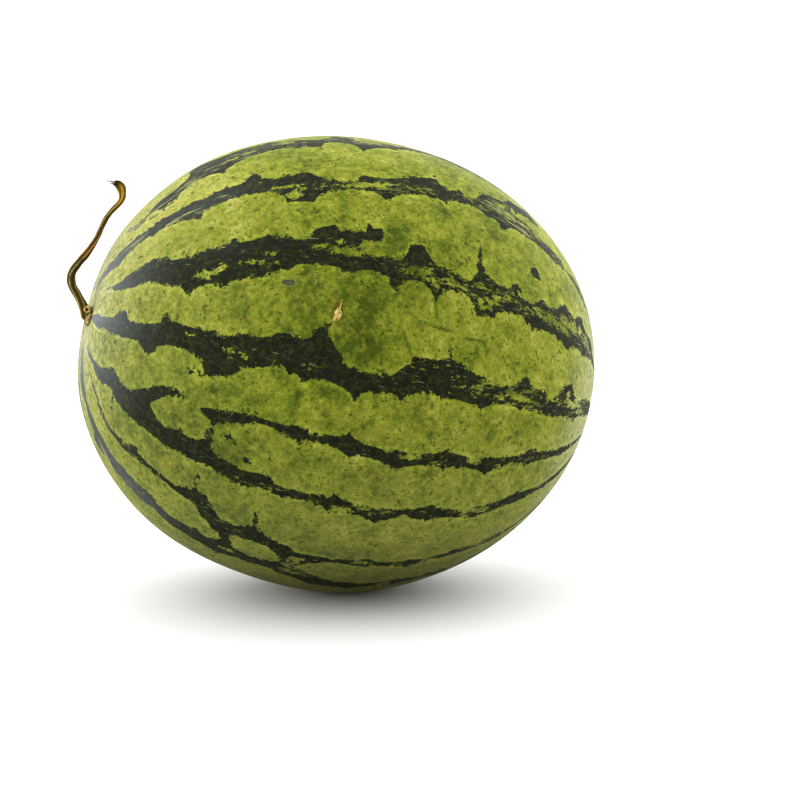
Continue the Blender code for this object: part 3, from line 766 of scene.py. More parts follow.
class Nodes:
    """A node tree, and the ways to add nodes to it."""

    def __init__(self, tree):
        self.tree = tree

    def node(self, kind, settings, inputs, output=0):
        """Adds a node of a kind: its settings first, then the values or links of its sockets."""
        made = self.tree.nodes.new(f"ShaderNode{kind}")
        for title, value in settings.items():
            if title == "stops":
                ramp = made.color_ramp
                while len(ramp.elements) < len(value):
                    ramp.elements.new(1.0)
                for element, (place, colour) in zip(ramp.elements, value):
                    element.position = place
                    element.color = (*colour, 1.0)
            else:
                setattr(made, title, value)
        for title, value in inputs.items():
            self.feed(made.inputs[title], value)
        return Field(self, made.outputs[output])

    def feed(self, socket, value):
        """Links a field to a socket, or sets the socket's own value."""
        if isinstance(value, Field):
            self.tree.links.new(value.socket, socket)
        elif isinstance(value, tuple) and len(value) == 3 and socket.type == "RGBA":
            socket.default_value = (*value, 1.0)
        else:
            socket.default_value = value

    def maths(self, operation, first, second, use_clamp=False):
        return self.node("Math", {"operation": operation, "use_clamp": use_clamp}, {0: first, 1: second})

    def blended(self, first, second, share):
        """One colour over another by a share from 0 to 1."""
        return self.node("Mix", {"data_type": "RGBA"}, {0: share, 6: first, 7: second}, output=2)

    def coated(self, colour, *coats):
        """A colour under coats, each a colour and its share, from the lowest to the topmost."""
        for coat, share in coats:
            colour = self.blended(colour, coat, share)
        return colour

    def tinted(self, colour, amount):
        """A colour times a number, by Vector Math."""
        return self.node("VectorMath", {"operation": "SCALE"}, {0: colour, "Scale": amount})

    def ramp(self, value, stops):
        return self.node("ValToRGB", {"stops": stops}, {"Fac": value})

    def place(self):
        """Object coordinates in millimetres."""
        socket = self.node("TexCoord", {}, {}, output=3)
        return self.node("VectorMath", {"operation": "SCALE"}, {0: socket, "Scale": MM})

    def drawn_out(self, vector, share):
        """A vector whose third axis is scaled by this share, so that patterns on it are longer that way."""
        return self.node("VectorMath", {"operation": "MULTIPLY"}, {0: vector, 1: (1.0, 1.0, share)})

    def parts(self, vector):
        """The three numbers of a vector."""
        split = self.node("SeparateXYZ", {}, {0: vector})
        return [Field(self, socket) for socket in split.socket.node.outputs]

    def along_way(self, vector, way):
        """How far a vector reaches along a unit one."""
        return self.node("VectorMath", {"operation": "DOT_PRODUCT"}, {0: vector, 1: way}, output=1)

    def attribute(self, title):
        return self.node("Attribute", {"attribute_name": title}, {}, output=1)

    def measures(self, title):
        """The three numbers of an attribute."""
        return self.parts(self.attribute(title))

    def noise(self, vector, size, detail=2.0, roughness=0.5, distortion=0.0):
        """Noise whose features are about this size, in the vector's own units."""
        sockets = {"Vector": vector, "Scale": 1 / size, "Detail": detail, "Roughness": roughness}
        return self.node("TexNoise", {}, {**sockets, "Distortion": distortion})

    def cells(self, vector, size, output=0):
        """The distance to the middle of a cell of this size or, as output 1, the cell's own chance colour."""
        return self.node("TexVoronoi", {}, {"Vector": vector, "Scale": 1 / size}, output)

    def warped(self, vector, size, reach):
        """A vector pushed about by noise of this size, up to about half the reach either way."""
        push = self.node("TexNoise", {}, {"Vector": vector, "Scale": 1 / size, "Detail": 2.0}, 1)
        push = self.node("VectorMath", {"operation": "SUBTRACT"}, {0: push, 1: (0.5, 0.5, 0.5)})
        push = self.tinted(push, reach * 2)
        return self.node("VectorMath", {"operation": "ADD"}, {0: vector, 1: push})

    def bump(self, height, strength, distance):
        return self.node("Bump", {}, {"Height": height, "Strength": strength, "Distance": distance})


class Finish(Nodes):
    """A material's own nodes."""

    def __init__(self, name):
        self.material = bpy.data.materials.new(name)
        self.material.use_nodes = True
        super().__init__(self.material.node_tree)
        self.shader = self.tree.nodes["Principled BSDF"]

    def finished(self, colour, roughness, normal=None, **plain):
        """Feeds the shader: colour, roughness and normal may vary, and the plain values don't."""
        self.feed(self.shader.inputs["Base Color"], colour)
        self.feed(self.shader.inputs["Roughness"], roughness)
        if normal:
            self.feed(self.shader.inputs["Normal"], normal)
        for title, value in plain.items():
            self.shader.inputs[title.replace("_", " ")].default_value = value
        return self.material


# The rind

RIND_ROWS = 266
RIND_COLUMNS = 372
FRONT_ZONE = (-95.0, 102.0)
BACK_CROWDING = 0.5
FINE_STEPS = 7201
POLE_MARGIN = 0.35


def crowded_around():
    """Column angles that stand twice as close in the front zone as behind."""
    fine = np.linspace(-180, 180, FINE_STEPS)
    front = (fine > FRONT_ZONE[0]) & (fine < FRONT_ZONE[1])
    weight = np.where(front, 1.0, BACK_CROWDING)
    travelled = np.concatenate([[0], np.cumsum((weight[1:] + weight[:-1]) / 2)])
    wanted = np.arange(RIND_COLUMNS) / RIND_COLUMNS * travelled[-1]
    return np.interp(wanted, travelled, fine)


def build_rind():
    """The skin: a grid of rows along and columns around on the rind's own formula, with a tip at either pole.
    Its attributes say where each mark lies, in millimetres or as a strength."""
    along = np.linspace(POLE_MARGIN, 180 - POLE_MARGIN, RIND_ROWS)
    around = crowded_around()
    rows, columns = np.meshgrid(along, around, indexing="ij")
    skin = on_rind(rows, columns)
    skin_mm = skin * MM
    upper, lower = edge_distances(along, around, skin_mm)
    more_islands, more_flecks, more_strokes, more_clouds = grown_marks(np.random.default_rng(HIDDEN_SEED + 1))
    strokes = stroke_depth(skin_mm, (*DARK_STROKES, *more_strokes))
    islands = island_depth(along, around, (*PALE_ISLANDS, *more_islands))
    flecks = soft_sum(along, around, (*FLECKED, *more_flecks))
    # The clouds hold painted shade in part
    clouds = soft_sum(along, around, (*GROUND_CLOUDS_AND_SHADE, *more_clouds))
    hair_and_sheen_strength = soft_sum(along, around, HAIR_AND_SHEEN_PLACES)
    greyed = soft_sum(along, around, GREYED)
    tan, scratches, healed, scab_stain_and_shadow_depth, seams = (
        stroke_depth(skin_mm, table) for table in (TAN_STROKES, SCRATCHES, HEALED_STROKES, SCAB_STAIN_AND_SHADOW, SEAMS)
    )
    reach = FRUIT_WIDTH / 2 * MM
    turn = np.radians(columns)
    layers = (
        ("stripe_edges", (upper, lower, strokes)),
        ("rind_marks", (islands, flecks, clouds)),
        ("rind_touches", (hair_and_sheen_strength, tan, scratches)),
        ("rind_scars", (healed, scab_stain_and_shadow_depth, seams)),
        ("rind_grain", (reach * np.cos(turn), reach * np.sin(turn), np.radians(rows) * reach)),
        ("stripe_bloom", (greyed, greyed, greyed)),
    )
    attributes = []
    for title, fields in layers:
        flat = np.stack(fields, axis=-1).reshape(-1, 3)
        attributes.append((title, np.concatenate([flat, flat[:1], flat[-1:]])))
    return closed_piece("rind", skin, on_rind([0.0, 180.0], [0.0, 0.0]), attributes)


# Noise patterns of the rind: size in mm, detail, roughness and, for some, distortion
CRYSTAL = (3.4, 4, 0.85)
FINE_GRAIN = (1.1, 2, 0.7)
INNER_RAYS = (4.2, 3, 0.65)
OUTER_RAYS = (2.2, 3, 0.65)
TEETH = (3.2, 3, 0.65)
TOOTHED_STRETCHES = (11, 2, 0.5)
CHIPS = (1.7, 3, 0.7)
CRUMBS = (1.5, 3, 0.65)
SMALL_FLECKS = (1.25, 3, 0.7, 0.5)
LARGE_FLECKS = (3.6, 2, 0.6)
FAR_HAIRS = (1.1, 2, 0.6)
NEAR_HAIRS = (2.6, 3, 0.6)
SPECKS = (2.0, 3, 0.62)
SPECK_CROWDS = (7, 3, 0.65)
PIT_CROWDS = (9, 3, 0.6)
CLOUDS = (13, 3, 0.55, 0.3)
BLOTCHES = (5.5, 4, 0.7, 0.6)
WARM_PATCHES = (4.2, 3, 0.7)
SMUDGES = (3.0, 4, 0.75)
FRINGE = (1.6, 3, 0.7)
PALE_PATCHES = (2.8, 4, 0.75)
PINK_PATCHES = (4.5, 3, 0.7)
MOTTLE = (2.8, 4, 0.75)
STRANDS = (1.4, 3, 0.7, 0.4)
GLOSS_PATCHES = (4, 3, 0.6)

# Cells of the rind in mm: chips, grit, pits and dimples
CHIP_SIZE = 1.5
GRIT_SIZE = 0.8
PIT_SIZE = 3.6
DIMPLE_SIZE = 2.2

# How far patterns are drawn out along the fruit, as a share of their width across it
STREAK_SHARE = 0.42
FAR_HAIR_SHARE = 0.12
NEAR_HAIR_SHARE = 0.16
INNER_RAY_SHARE = 0.13
OUTER_RAY_SHARE = 0.22

# Where along the fruit in degrees a look sets in, and where it is full
NEAR_STEM = (34, 3)
UNEVEN_EDGES = (9, 28)
NEAR_HAIR_ZONE = (42, 30)
INNER_RAY_ZONE = (22, 12)
RAY_ZONE = (19, 8)
BLOOM_ZONE = (44, 2)
# Where the painted shade's duller tint sets in towards the stem
SHADE_DULL_ZONE = (80, 6)
BLOSSOM_ZONE = (138, 162)
SCAR_ZONE = (178.0, 178.9)

# The same by height above the ground in mm
# Where the painted shade's duller tint sets in towards the bottom
SHADE_DULL_HEIGHT = (110, 15)
# Where the painted shade near the floor sets in, and where it is full
UNDER_SHADE_HEIGHT = (44, 6)
SPOT_HEIGHT = (11.0, 2.5)

# Bumps, as strength and depth in m, and how much light each surface mirrors
RIND_BUMP = (0.25, 0.0003)
DRIED_BUMP = (0.4, 0.0003)
CORKY_BUMP = (0.5, 0.0004)
RIND_MIRRORS = 0.022
SCAB_MIRRORS = 0.2
STEM_MIRRORS = 0.08
WISP_MIRRORS = 0.1


def rind_patterns(f):
    """What the rind's colours share: where each mark lies, and the patterns that several of them use."""
    r = SimpleNamespace(place=f.place(), grain=f.attribute("rind_grain"))
    r.upper, r.lower, r.strokes = f.measures("stripe_edges")
    r.islands, r.flecks, r.clouds = f.measures("rind_marks")
    r.hairiness, r.tan_mm, r.scratch_mm = f.measures("rind_touches")
    r.healed_mm, r.stain_mm, r.seam_mm = f.measures("rind_scars")
    r.greyed = f.measures("stripe_bloom")[0]
    r.along = f.parts(r.grain)[2] / MM_PER_DEGREE
    r.near_stem = r.along.between(*NEAR_STEM)
    r.height_mm = f.parts(r.place)[2]
    r.streaky = f.drawn_out(r.grain, STREAK_SHARE)
    r.hairy = f.drawn_out(r.grain, FAR_HAIR_SHARE)
    r.torn = f.warped(r.place, 1.3, 1.3)
    r.chip_a, r.chip_b, r.chip_c = f.parts(f.cells(r.torn, CHIP_SIZE, output=1))
    r.grit_a, r.grit_b, _ = f.parts(f.cells(r.torn, GRIT_SIZE, output=1))
    r.crystal = f.noise(r.place, *CRYSTAL) - 0.5
    r.fine = f.noise(r.place, *FINE_GRAIN) - 0.5
    bent = f.warped(r.grain, 9, 3.0)
    r.inner_rays = f.noise(f.drawn_out(bent, INNER_RAY_SHARE), *INNER_RAYS)
    r.outer_rays = f.noise(f.drawn_out(bent, OUTER_RAY_SHARE), *OUTER_RAYS)
    return r


def striped(f, r):
    """The share of stripe: jagged edges, loose crumbs outside them, and pale flecks and hair lines inside,
    the hair lines partly painted sheen. It comes with the millimetres inside the smooth and the jagged edge,
    and with the hair lines' share."""
    jag = (f.noise(r.place, *TEETH) - 0.5) * 3.4 + (r.chip_a - 0.5) * 1.5 + (r.grit_a - 0.5) * 0.9
    jag = jag * (0.30 + f.noise(r.place, *TOOTHED_STRETCHES).between(0.38, 0.60) * 0.95)
    jag = jag * (0.35 + r.along.between(*UNEVEN_EDGES) * 0.65)
    chips = (f.noise(r.place, *CHIPS) - 0.5) * 4.4 + (r.chip_b - 0.5) * 2.2
    stripe_mm = r.upper.least(r.lower).most(r.strokes)
    edge_mm = (stripe_mm + jag).least(chips - r.islands * 1.5 - 0.2)
    crumbs = (f.noise(r.place, *CRUMBS) - 0.67) * 9.0 + stripe_mm.most(-5.0).least(0.0) * 0.42
    crumbs = crumbs + stripe_mm.between(0.4, 1.6) * 0.40
    fleck = f.noise(r.streaky, *SMALL_FLECKS) * 0.62 + f.noise(r.streaky, *LARGE_FLECKS) * 0.38
    fleck = (fleck - (0.655 - r.flecks * 0.105) + (r.grit_b - 0.5) * 0.05) * 20.0
    far_hair = f.noise(r.hairy, *FAR_HAIRS)
    near_hair = f.noise(f.drawn_out(r.grain, NEAR_HAIR_SHARE), *NEAR_HAIRS)
    hair = far_hair.towards(near_hair, r.along.between(*NEAR_HAIR_ZONE))
    hair_and_sheen_share = ((hair - 0.70 + r.hairiness * 0.16) * 18.0).between(0.0, 0.6) * 0.7
    dark = edge_mm.most(crumbs).between(-0.14, 0.14)
    dark = dark * (1 - fleck.between(-0.15, 0.35) * 0.85)
    return dark * (1 - hair_and_sheen_share), stripe_mm, edge_mm, hair_and_sheen_share


def specked(f, r):
    """The share of dark specks and pits in the ground, which crowd in places."""
    crowd = f.noise(r.place, *SPECK_CROWDS)
    speckle = f.noise(f.warped(r.place, 0.9, 0.6), *SPECKS)
    small = (speckle - 0.715 + crowd.between(0.38, 0.60) * 0.12 + r.near_stem * 0.03).between(0.0, 0.03)
    pits = f.cells(f.warped(r.place, 1.1, 0.5), PIT_SIZE).between(0.21, 0.12)
    pits = pits * f.noise(r.place, *PIT_CROWDS).between(0.42, 0.52)
    big = (r.chip_c - 0.985 + crowd.between(0.50, 0.70) * 0.10).between(0.0, 0.02).most(pits)
    return (small * 0.75).most(big * 0.72)


def ground_colour(f, r, edge_mm):
    """The pale ground: clouds, crystalline mottling, darker fringes, veins and specks. Painted shade lies in
    some of the clouds, in a duller tint towards the stem and the bottom, and in a darker brown near the
    floor. It is paler towards the poles, near the stem in patches with a pink or a green cast and, close to
    it, in fine rays."""
    cloud = f.noise(r.place, *CLOUDS)
    blotch = f.noise(r.torn, *BLOTCHES)
    # The clouds, partly painted shade, darken or pale the tone
    tone = 0.55 + (cloud - 0.5) * 0.8 + (blotch - 0.5) * 1.0 + r.crystal * 0.5 - r.clouds * 0.17
    warm = f.noise(r.place, *WARM_PATCHES).between(0.50, 0.66)
    # Painted shade: a duller tint towards the stem and towards the bottom
    shade_dull = r.along.between(*SHADE_DULL_ZONE).power(1.5) * 0.62 + r.height_mm.between(*SHADE_DULL_HEIGHT) * 0.50
    smudge = f.noise(r.torn, *SMUDGES).between(0.54, 0.68)
    fringe = edge_mm.between(-1.8, -0.1) * f.noise(r.torn, *FRINGE).between(0.52, 0.68)
    rays = r.outer_rays.towards(r.inner_rays, r.along.between(*INNER_RAY_ZONE))
    patches = f.noise(f.warped(r.place, 2.6, 1.8), *PALE_PATCHES)
    ray_share = r.along.between(*RAY_ZONE) * 0.7
    pale = patches.between(0.45, 0.57).towards(rays.between(0.46, 0.54), ray_share)
    green = patches.between(0.46, 0.37).towards(rays.between(0.48, 0.42), ray_share)
    pink = f.noise(r.torn, *PINK_PATCHES).between(0.50, 0.66)
    seam = (r.seam_mm + (r.chip_b - 0.5) * 0.25).between(-1.0, -0.2)
    ground = f.coated(
        f.ramp(tone, GROUND_STOPS),
        (GROUND_WARM, warm * 0.5),
        (GROUND_SHADE_DULL, shade_dull.limited() * 0.75),
        (VEIN_COLOUR, (smudge * 0.7).most(fringe * 0.55)),
        (GROUND_PALE, r.near_stem * pale * 0.85),
        (RAY_GREEN, r.near_stem * green * 0.8),
        (GROUND_PINK, r.near_stem * pink * 0.5),
        (GROUND_PALE, r.along.between(*BLOSSOM_ZONE) * 0.8),
        # Painted shade: darker brown towards the floor
        (UNDER_SHADE_BROWN, r.height_mm.between(*UNDER_SHADE_HEIGHT) * 0.6),
        (VEIN_COLOUR, seam * 0.95),
        (SPECK_COLOUR, specked(f, r)),
    )
    rim = edge_mm.between(-2.4, -0.9) * edge_mm.between(0.1, -0.4)
    grit = 1.0 + r.crystal * 0.9 + r.fine * 0.6 + (r.chip_b - 0.5) * 0.24 + (r.grit_b - 0.5) * 0.30
    return f.tinted(ground, grit + rim * 0.22)


def stripe_colour(f, r):
    """The near-black of the stripes: mottled, with grey strands, and a grey bloom towards the stem."""
    mottle = f.noise(r.torn, *MOTTLE)
    strands = f.noise(r.streaky, *STRANDS)
    stripe = f.blended(STRIPE_DARK, STRIPE_GREEN, mottle.between(0.46, 0.72))
    stripe = f.blended(stripe, STRIPE_GREY, strands.between(0.54, 0.68) * 0.8)
    stripe = f.tinted(stripe, 1.0 + (r.chip_c - 0.5) * 0.4 + r.fine * 1.2)
    bloom = (r.along.between(*BLOOM_ZONE).power(1.5) + r.greyed) * (0.35 + r.inner_rays * 0.9 + r.fine * 0.5)
    return f.blended(stripe, BLOOM_GREY, (bloom * 1.1).limited())


def rind_finish():
    """Near-black feathered stripes on mottled yellow-green, and over them hair lines that are partly painted
    sheen, a healed spot, dark brown round the scab that is partly painted shadow, scratches, a tan streak
    below the stem, the blossom scar and the pale spot underneath."""
    f = Finish("striped rind")
    r = rind_patterns(f)
    dark, stripe_mm, edge_mm, hair_and_sheen_share = striped(f, r)
    colour = f.blended(ground_colour(f, r, edge_mm), stripe_colour(f, r), dark)
    healed = r.healed_mm + (r.chip_a - 0.5) * 0.35
    cracked = (healed.between(0.9, 0.1) * 0.8).most(r.crystal.between(0.0, 0.12) * 0.6)
    # Dark brown round the scab, partly painted shadow
    stain = (r.stain_mm + (r.chip_b - 0.5) * 0.5).between(-0.5, 0.3)
    scratched = (r.scratch_mm + (f.noise(r.place, 1.6, 2) - 0.5) * 0.7).between(-0.25, 0.2)
    streak = (r.tan_mm + (f.noise(r.hairy, 1.2, 2) - 0.5) * 1.5).between(-0.3, 0.4)
    scar = (r.along + f.noise(r.place, 1.5, 2) * 0.8).between(*SCAR_ZONE)
    ragged_mm = r.height_mm + f.noise(r.place, 12, 3) * 6.0 + f.noise(r.place, 3, 3) * 2.0
    spot = ragged_mm.between(*SPOT_HEIGHT)
    colour = f.coated(
        colour,
        # Hair lines, partly painted sheen on the stripes
        (HAIR_AND_SHEEN_PALE, hair_and_sheen_share * stripe_mm.between(-0.3, 0.3) * 0.5),
        (SCRATCH_PALE, healed.between(-0.9, -0.3) * 0.3),
        (f.blended(HEALED_GREY, STRIPE_DARK, cracked), healed.between(-0.2, 0.2) * 0.9),
        # Dark brown round the scab, partly painted shadow
        (SCAB_OUTLINE, stain * 0.7),
        (SCRATCH_PALE, scratched * 0.6),
        (TAN_STREAK, streak * 0.8),
        (SCAR_BROWN, scar),
        (GROUND_SPOT, spot * (0.80 - dark * 0.35)),
    )
    roughness = 0.50 + f.noise(r.place, *GLOSS_PATCHES) * 0.12
    dimples = f.noise(r.place, 1.1) * 0.5 + f.noise(r.place, 5) + f.cells(r.place, DIMPLE_SIZE) * 0.25
    return f.finished(colour, roughness, f.bump(dimples, *RIND_BUMP), Specular_IOR_Level=RIND_MIRRORS)


# The scab: a dried flake on the front of the rind, at an angle along and around, with its sizes in mm
SCAB_PLACE = (76.9, 18.5)
SCAB_HALF_WIDTH = 1.8
SCAB_HALF_HEIGHT = 2.8
SCAB_LEAN = 0.06
SCAB_THICKNESS = 0.75
SCAB_PEAK = 0.12
SCAB_UNDER = 0.05
SCAB_FALL = 0.6
SCAB_SIDES = 96
SCAB_RINGS = 12

# How much its outline waves, as a share, and how often round: to the side and upwards
SCAB_WAVES = ((0.10, 5), (0.08, 4))

# Its ridges: height as a share, radians to a mm across, and where they start
SCAB_RIDGES = (0.35, 3.2, 0.8)
TAIL_THINNING = 0.35

# What its outline adds to an oval: at an angle in degrees, how sharp, and how far to the side and up in mm
SCAB_TAIL = (80, 44, 0.4, 4.6)
SCAB_TOE = (246, 14, -0.8, -0.9)
SCAB_HORN = (116, 20, 0.0, 0.9)
SCAB_NOTCH = (97, 90, 0.0, -0.7)


def pointed(turn, degrees, sharpness):
    """1 at an angle in degrees and less to either side: a power of the cosine of the angle away from it."""
    return np.clip(np.cos(turn - math.radians(degrees)), 0, 1) ** sharpness


def build_scab():
    """A low crusty flake: an oval that leans, drawn out to a thin tail at its upper right and a short one at
    its lower left. It is domed by a power of 1 less the squared share of its reach, with two ridges."""
    turn = full_turn(SCAB_SIDES)
    (side_wave, side_count), (up_wave, up_count) = SCAB_WAVES
    wide = SCAB_HALF_WIDTH * np.cos(turn) * (1 + side_wave * np.sin(side_count * turn))
    tall = SCAB_HALF_HEIGHT * np.sin(turn) * (1 + up_wave * np.cos(up_count * turn))
    for degrees, sharpness, aside, upward in (SCAB_TAIL, SCAB_TOE, SCAB_HORN, SCAB_NOTCH):
        wide = wide + aside * pointed(turn, degrees, sharpness)
        tall = tall + upward * pointed(turn, degrees, sharpness)
    wide = wide + SCAB_LEAN * tall
    out = dome_steps(SCAB_RINGS)
    ridge, per_mm, start = SCAB_RIDGES
    dome = SCAB_THICKNESS * (1 - out**2) ** SCAB_FALL * (1 - TAIL_THINNING * pointed(turn, *SCAB_TAIL[:2]))
    dome = dome * (1 + ridge * np.cos(per_mm * out * wide + start)) + SCAB_UNDER + SCAB_PEAK * (1 - out)
    share = np.vstack([out, UNDERSIDE_RINGS])
    lift = np.vstack([dome, np.full((2, SCAB_SIDES), SCAB_UNDER / 2)]) / MM
    along = SCAB_PLACE[0] + share * wide / MM_PER_DEGREE
    around = SCAB_PLACE[1] + share * tall / MM_PER_DEGREE / math.sin(math.radians(SCAB_PLACE[0]))
    tip_lift = np.array([SCAB_THICKNESS + SCAB_UNDER + SCAB_PEAK, SCAB_UNDER / 2]) / MM
    tips = on_rind([SCAB_PLACE[0]] * 2, [SCAB_PLACE[1]] * 2, tip_lift)
    reach = np.append(np.broadcast_to(share, along.shape), [0, 0])
    grown = np.stack([reach, reach, reach], axis=-1)
    return closed_piece("scab", on_rind(along, around, lift), tips, [("scab_reach", grown)])


def scab_finish():
    """Pale yellow crust with a reddish-brown outline."""
    f = Finish("dried scab")
    place = f.place()
    reach = f.measures("scab_reach")[0]
    tone = f.noise(place, 1.2, 3, 0.65, 0.3)
    colour = f.ramp(tone, SCAB_STOPS)
    outline = (reach + (tone - 0.5) * 0.3).between(0.84, 0.97)
    colour = f.blended(colour, SCAB_OUTLINE, outline * 0.85)
    return f.finished(colour, 0.6, f.bump(tone, *DRIED_BUMP), Specular_IOR_Level=SCAB_MIRRORS)


# The dried stem

# The stalk's route from the stem pole, and its half width and half depth, in mm
STALK_ROUTE_MM = (
    (-1.2, 0.0, 0.3, 2.5, 2.5),
    (-2.1, -0.3, 1.1, 2.4, 2.4),
    (-2.6, -1.2, 2.6, 2.3, 2.3),
    (-3.2, -2.3, 4.6, 2.1, 2.1),
    (-4.3, -2.9, 7.3, 1.95, 1.95),
    (-6.2, -2.8, 11.2, 1.85, 1.8),
    (-7.8, -2.2, 14.2, 1.85, 1.8),
    (-8.4, -1.4, 17.2, 1.9, 1.8),
    (-7.7, -0.4, 20.8, 1.8, 1.8),
    (-4.8, 0.8, 24.7, 1.7, 1.7),
    (-1.4, 2.0, 28.3, 1.6, 1.65),
    (1.4, 3.4, 31.7, 1.45, 1.5),
    (4.0, 4.9, 35.3, 1.25, 1.3),
    (6.6, 6.8, 40.0, 1.15, 1.2),
    (8.7, 8.2, 43.5, 1.2, 1.2),
    (11.7, 9.2, 47.2, 1.2, 1.15),
    (14.4, 9.3, 49.8, 1.25, 1.15),
    (16.0, 8.7, 52.4, 1.35, 1.15),
    (16.1, 7.6, 55.1, 1.75, 1.15),
    (15.3, 6.2, 57.7, 2.15, 1.05),
    (13.8, 4.9, 59.4, 1.85, 0.95),
    (12.0, 3.9, 60.2, 1.1, 0.8),
)
STALK_RINGS = 340
STALK_SIDES = 40
STALK_CLEARANCE = 0.0009
STEPS_PER_KNOT = 40
STEM_RIDGES = 5
RIDGE_SHARE = 0.11
RIDGE_TWIST = math.radians(150)
FIBRE_SHARE = 0.028
TIP_HOLLOW = 0.0016
HOOD_START = 0.88
HOOD_LENGTH = 0.08
HOOD_HOLLOW = 0.55

# What the floor of the tip's hollow has as its share of the way, past the end's 1
HOLLOW_SHARE = 1.15

# Finer fibres: how many round, how far they twist in radians, and their height as a share of them all
FIBRES = ((13, 9, 0.6), (8, -14, 0.4))

# How the stalk's thickness wavers: radians from end to end, where they start, and the share
WAVERS = ((31, 0.0, 0.03), (74, 1.0, 0.025))

GAP = 0.0003
CALLUS_RADIUS = 0.0046
CALLUS_HEIGHT = 0.0021
CALLUS_RIM = 0.0006
CALLUS_FALL = 0.7
CALLUS_SIDES = 60
CALLUS_RINGS = 16
RIM_POWER = 6
KNOB_STEEPNESS = 1.6

# The callus's lobes: how many round, their share of the radius, and where they start in radians
CALLUS_LOBES = ((3, 0.10, 0.8), (5, 0.05, 0.0), (11, 0.035, 0.6), (17, 0.02, 0.0))

# Its wrinkles: height, how many round, and their twist in radians from the pole to the rim
CALLUS_WRINKLES = (0.00012, 23, 5)

CURL_RADIUS = 0.0012
CURL_THICKNESS = 0.00055
CURL_UNEVENNESS = 0.22
CURL_PHASE = 0.7
CURL_PLACE_MM = (-1.9, -4.6, 4.2)
CURL_STEPS = 40
CURL_SIDES = 16
WISP_RINGS = 14
WISP_SIDES = 8

# The way that the curl and the tip's broad side face, and the level way across it
BROAD_FACE = np.array([-0.1736, -0.9848, 0.0])
BROAD_ACROSS = np.cross(UP, BROAD_FACE)


def kept_off_rind(points, least):
    """The points, with those nearer to the skin than the least height moved straight out to that height."""
    offsets = points - CENTRE
    distance = np.linalg.norm(offsets, axis=-1, keepdims=True)
    directions = offsets / distance
    lowest = rind_radius(directions)[..., None] + least
    return CENTRE + directions * np.maximum(distance, lowest)


def smooth_route(knots, count):
    """Evenly spaced rows on a Catmull-Rom curve through the knots; every column is carried along."""
    padded = np.vstack([2 * knots[0] - knots[1], knots, 2 * knots[-1] - knots[-2]])
    fine = np.linspace(0, len(knots) - 1, STEPS_PER_KNOT * len(knots))
    start = np.minimum(fine.astype(int), len(knots) - 2)
    t = (fine - start)[:, None]
    p0, p1, p2, p3 = (padded[start + k] for k in range(4))
    curve = 0.5 * (2 * p1 + (p2 - p0) * t + (2 * p0 - 5 * p1 + 4 * p2 - p3) * t**2)
    curve = curve + 0.5 * (3 * p1 - p0 - 3 * p2 + p3) * t**3
    steps = np.linalg.norm(np.diff(curve[:, :3], axis=0), axis=1)
    travelled = np.concatenate([[0.0], np.cumsum(steps)])
    wanted = np.linspace(0, travelled[-1], count)
    return np.stack([np.interp(wanted, travelled, column) for column in curve.T], axis=1)


def tube_axes(middle):
    """The directions at each point of a route: sideways, outwards from the broad side, and ahead."""
    forward = unit(np.gradient(middle, axis=0))
    sideways = unit(np.cross(forward, BROAD_FACE))
    return sideways, np.cross(sideways, forward), forward


def build_stalk(pole_point):
    """The stalk: rings round its route whose radius swells with five twisted ridges and finer fibres. Its
    hooked tip is broad, hollowed on the inner side and open at the end."""
    route = smooth_route(np.array(STALK_ROUTE_MM) / MM, STALK_RINGS)
    middle = route[:, :3] + pole_point
    sideways, outward, forward = tube_axes(middle)
    turn = full_turn(STALK_SIDES)
    share = np.linspace(0, 1, STALK_RINGS)[:, None]
    phase = turn + RIDGE_TWIST * share
    ridge = np.cos(STEM_RIDGES * phase)
    fibre = sum(height * np.cos(count * phase + twist * share) for count, twist, height in FIBRES)
    waver = sum(height * np.sin(swing * share + start) for swing, start, height in WAVERS)
    ridged = (1 + RIDGE_SHARE * ridge + FIBRE_SHARE * fibre) * (1 + waver)
    width = route[:, 3:4] * ridged * np.cos(turn)
    depth = route[:, 4:5] * ridged * np.sin(turn)
    hood = np.clip((share - HOOD_START) / HOOD_LENGTH, 0, 1)
    inner = np.clip(np.sin(turn), 0, 1)
    depth = depth * (1 - HOOD_HOLLOW * hood * inner)
    rings = middle[:, None] + width[..., None] * sideways[:, None] + depth[..., None] * outward[:, None]
    rings = kept_off_rind(rings, STALK_CLEARANCE)
    tips = [rings[0].mean(axis=0), rings[-1].mean(axis=0) - forward[-1] * TIP_HOLLOW]
    grown = np.stack([np.broadcast_to(share, ridge.shape), ridge, fibre], axis=-1).reshape(-1, 3)
    grown = np.concatenate([grown, [[0, 0, 0], [HOLLOW_SHARE, 0, 0]]])
    return closed_piece("stalk", rings, tips, [("stalk_growth", grown)])


# Knobs on the callus: from the pole in mm, around in degrees, reach in mm, height in mm
CALLUS_KNOBS = (
    (3.1, -70, 0.8, 0.6), (3.6, -30, 0.7, 0.4), (4.0, -100, 0.8, 0.5), (3.4, 20, 0.8, 0.4),
    (2.4, -130, 0.8, 0.4), (3.8, 70, 0.9, 0.4), (3.3, 120, 0.9, 0.5), (3.9, 170, 0.8, 0.4),
    (2.2, -20, 0.6, 0.4), (3.9, -165, 0.7, 0.4),
)


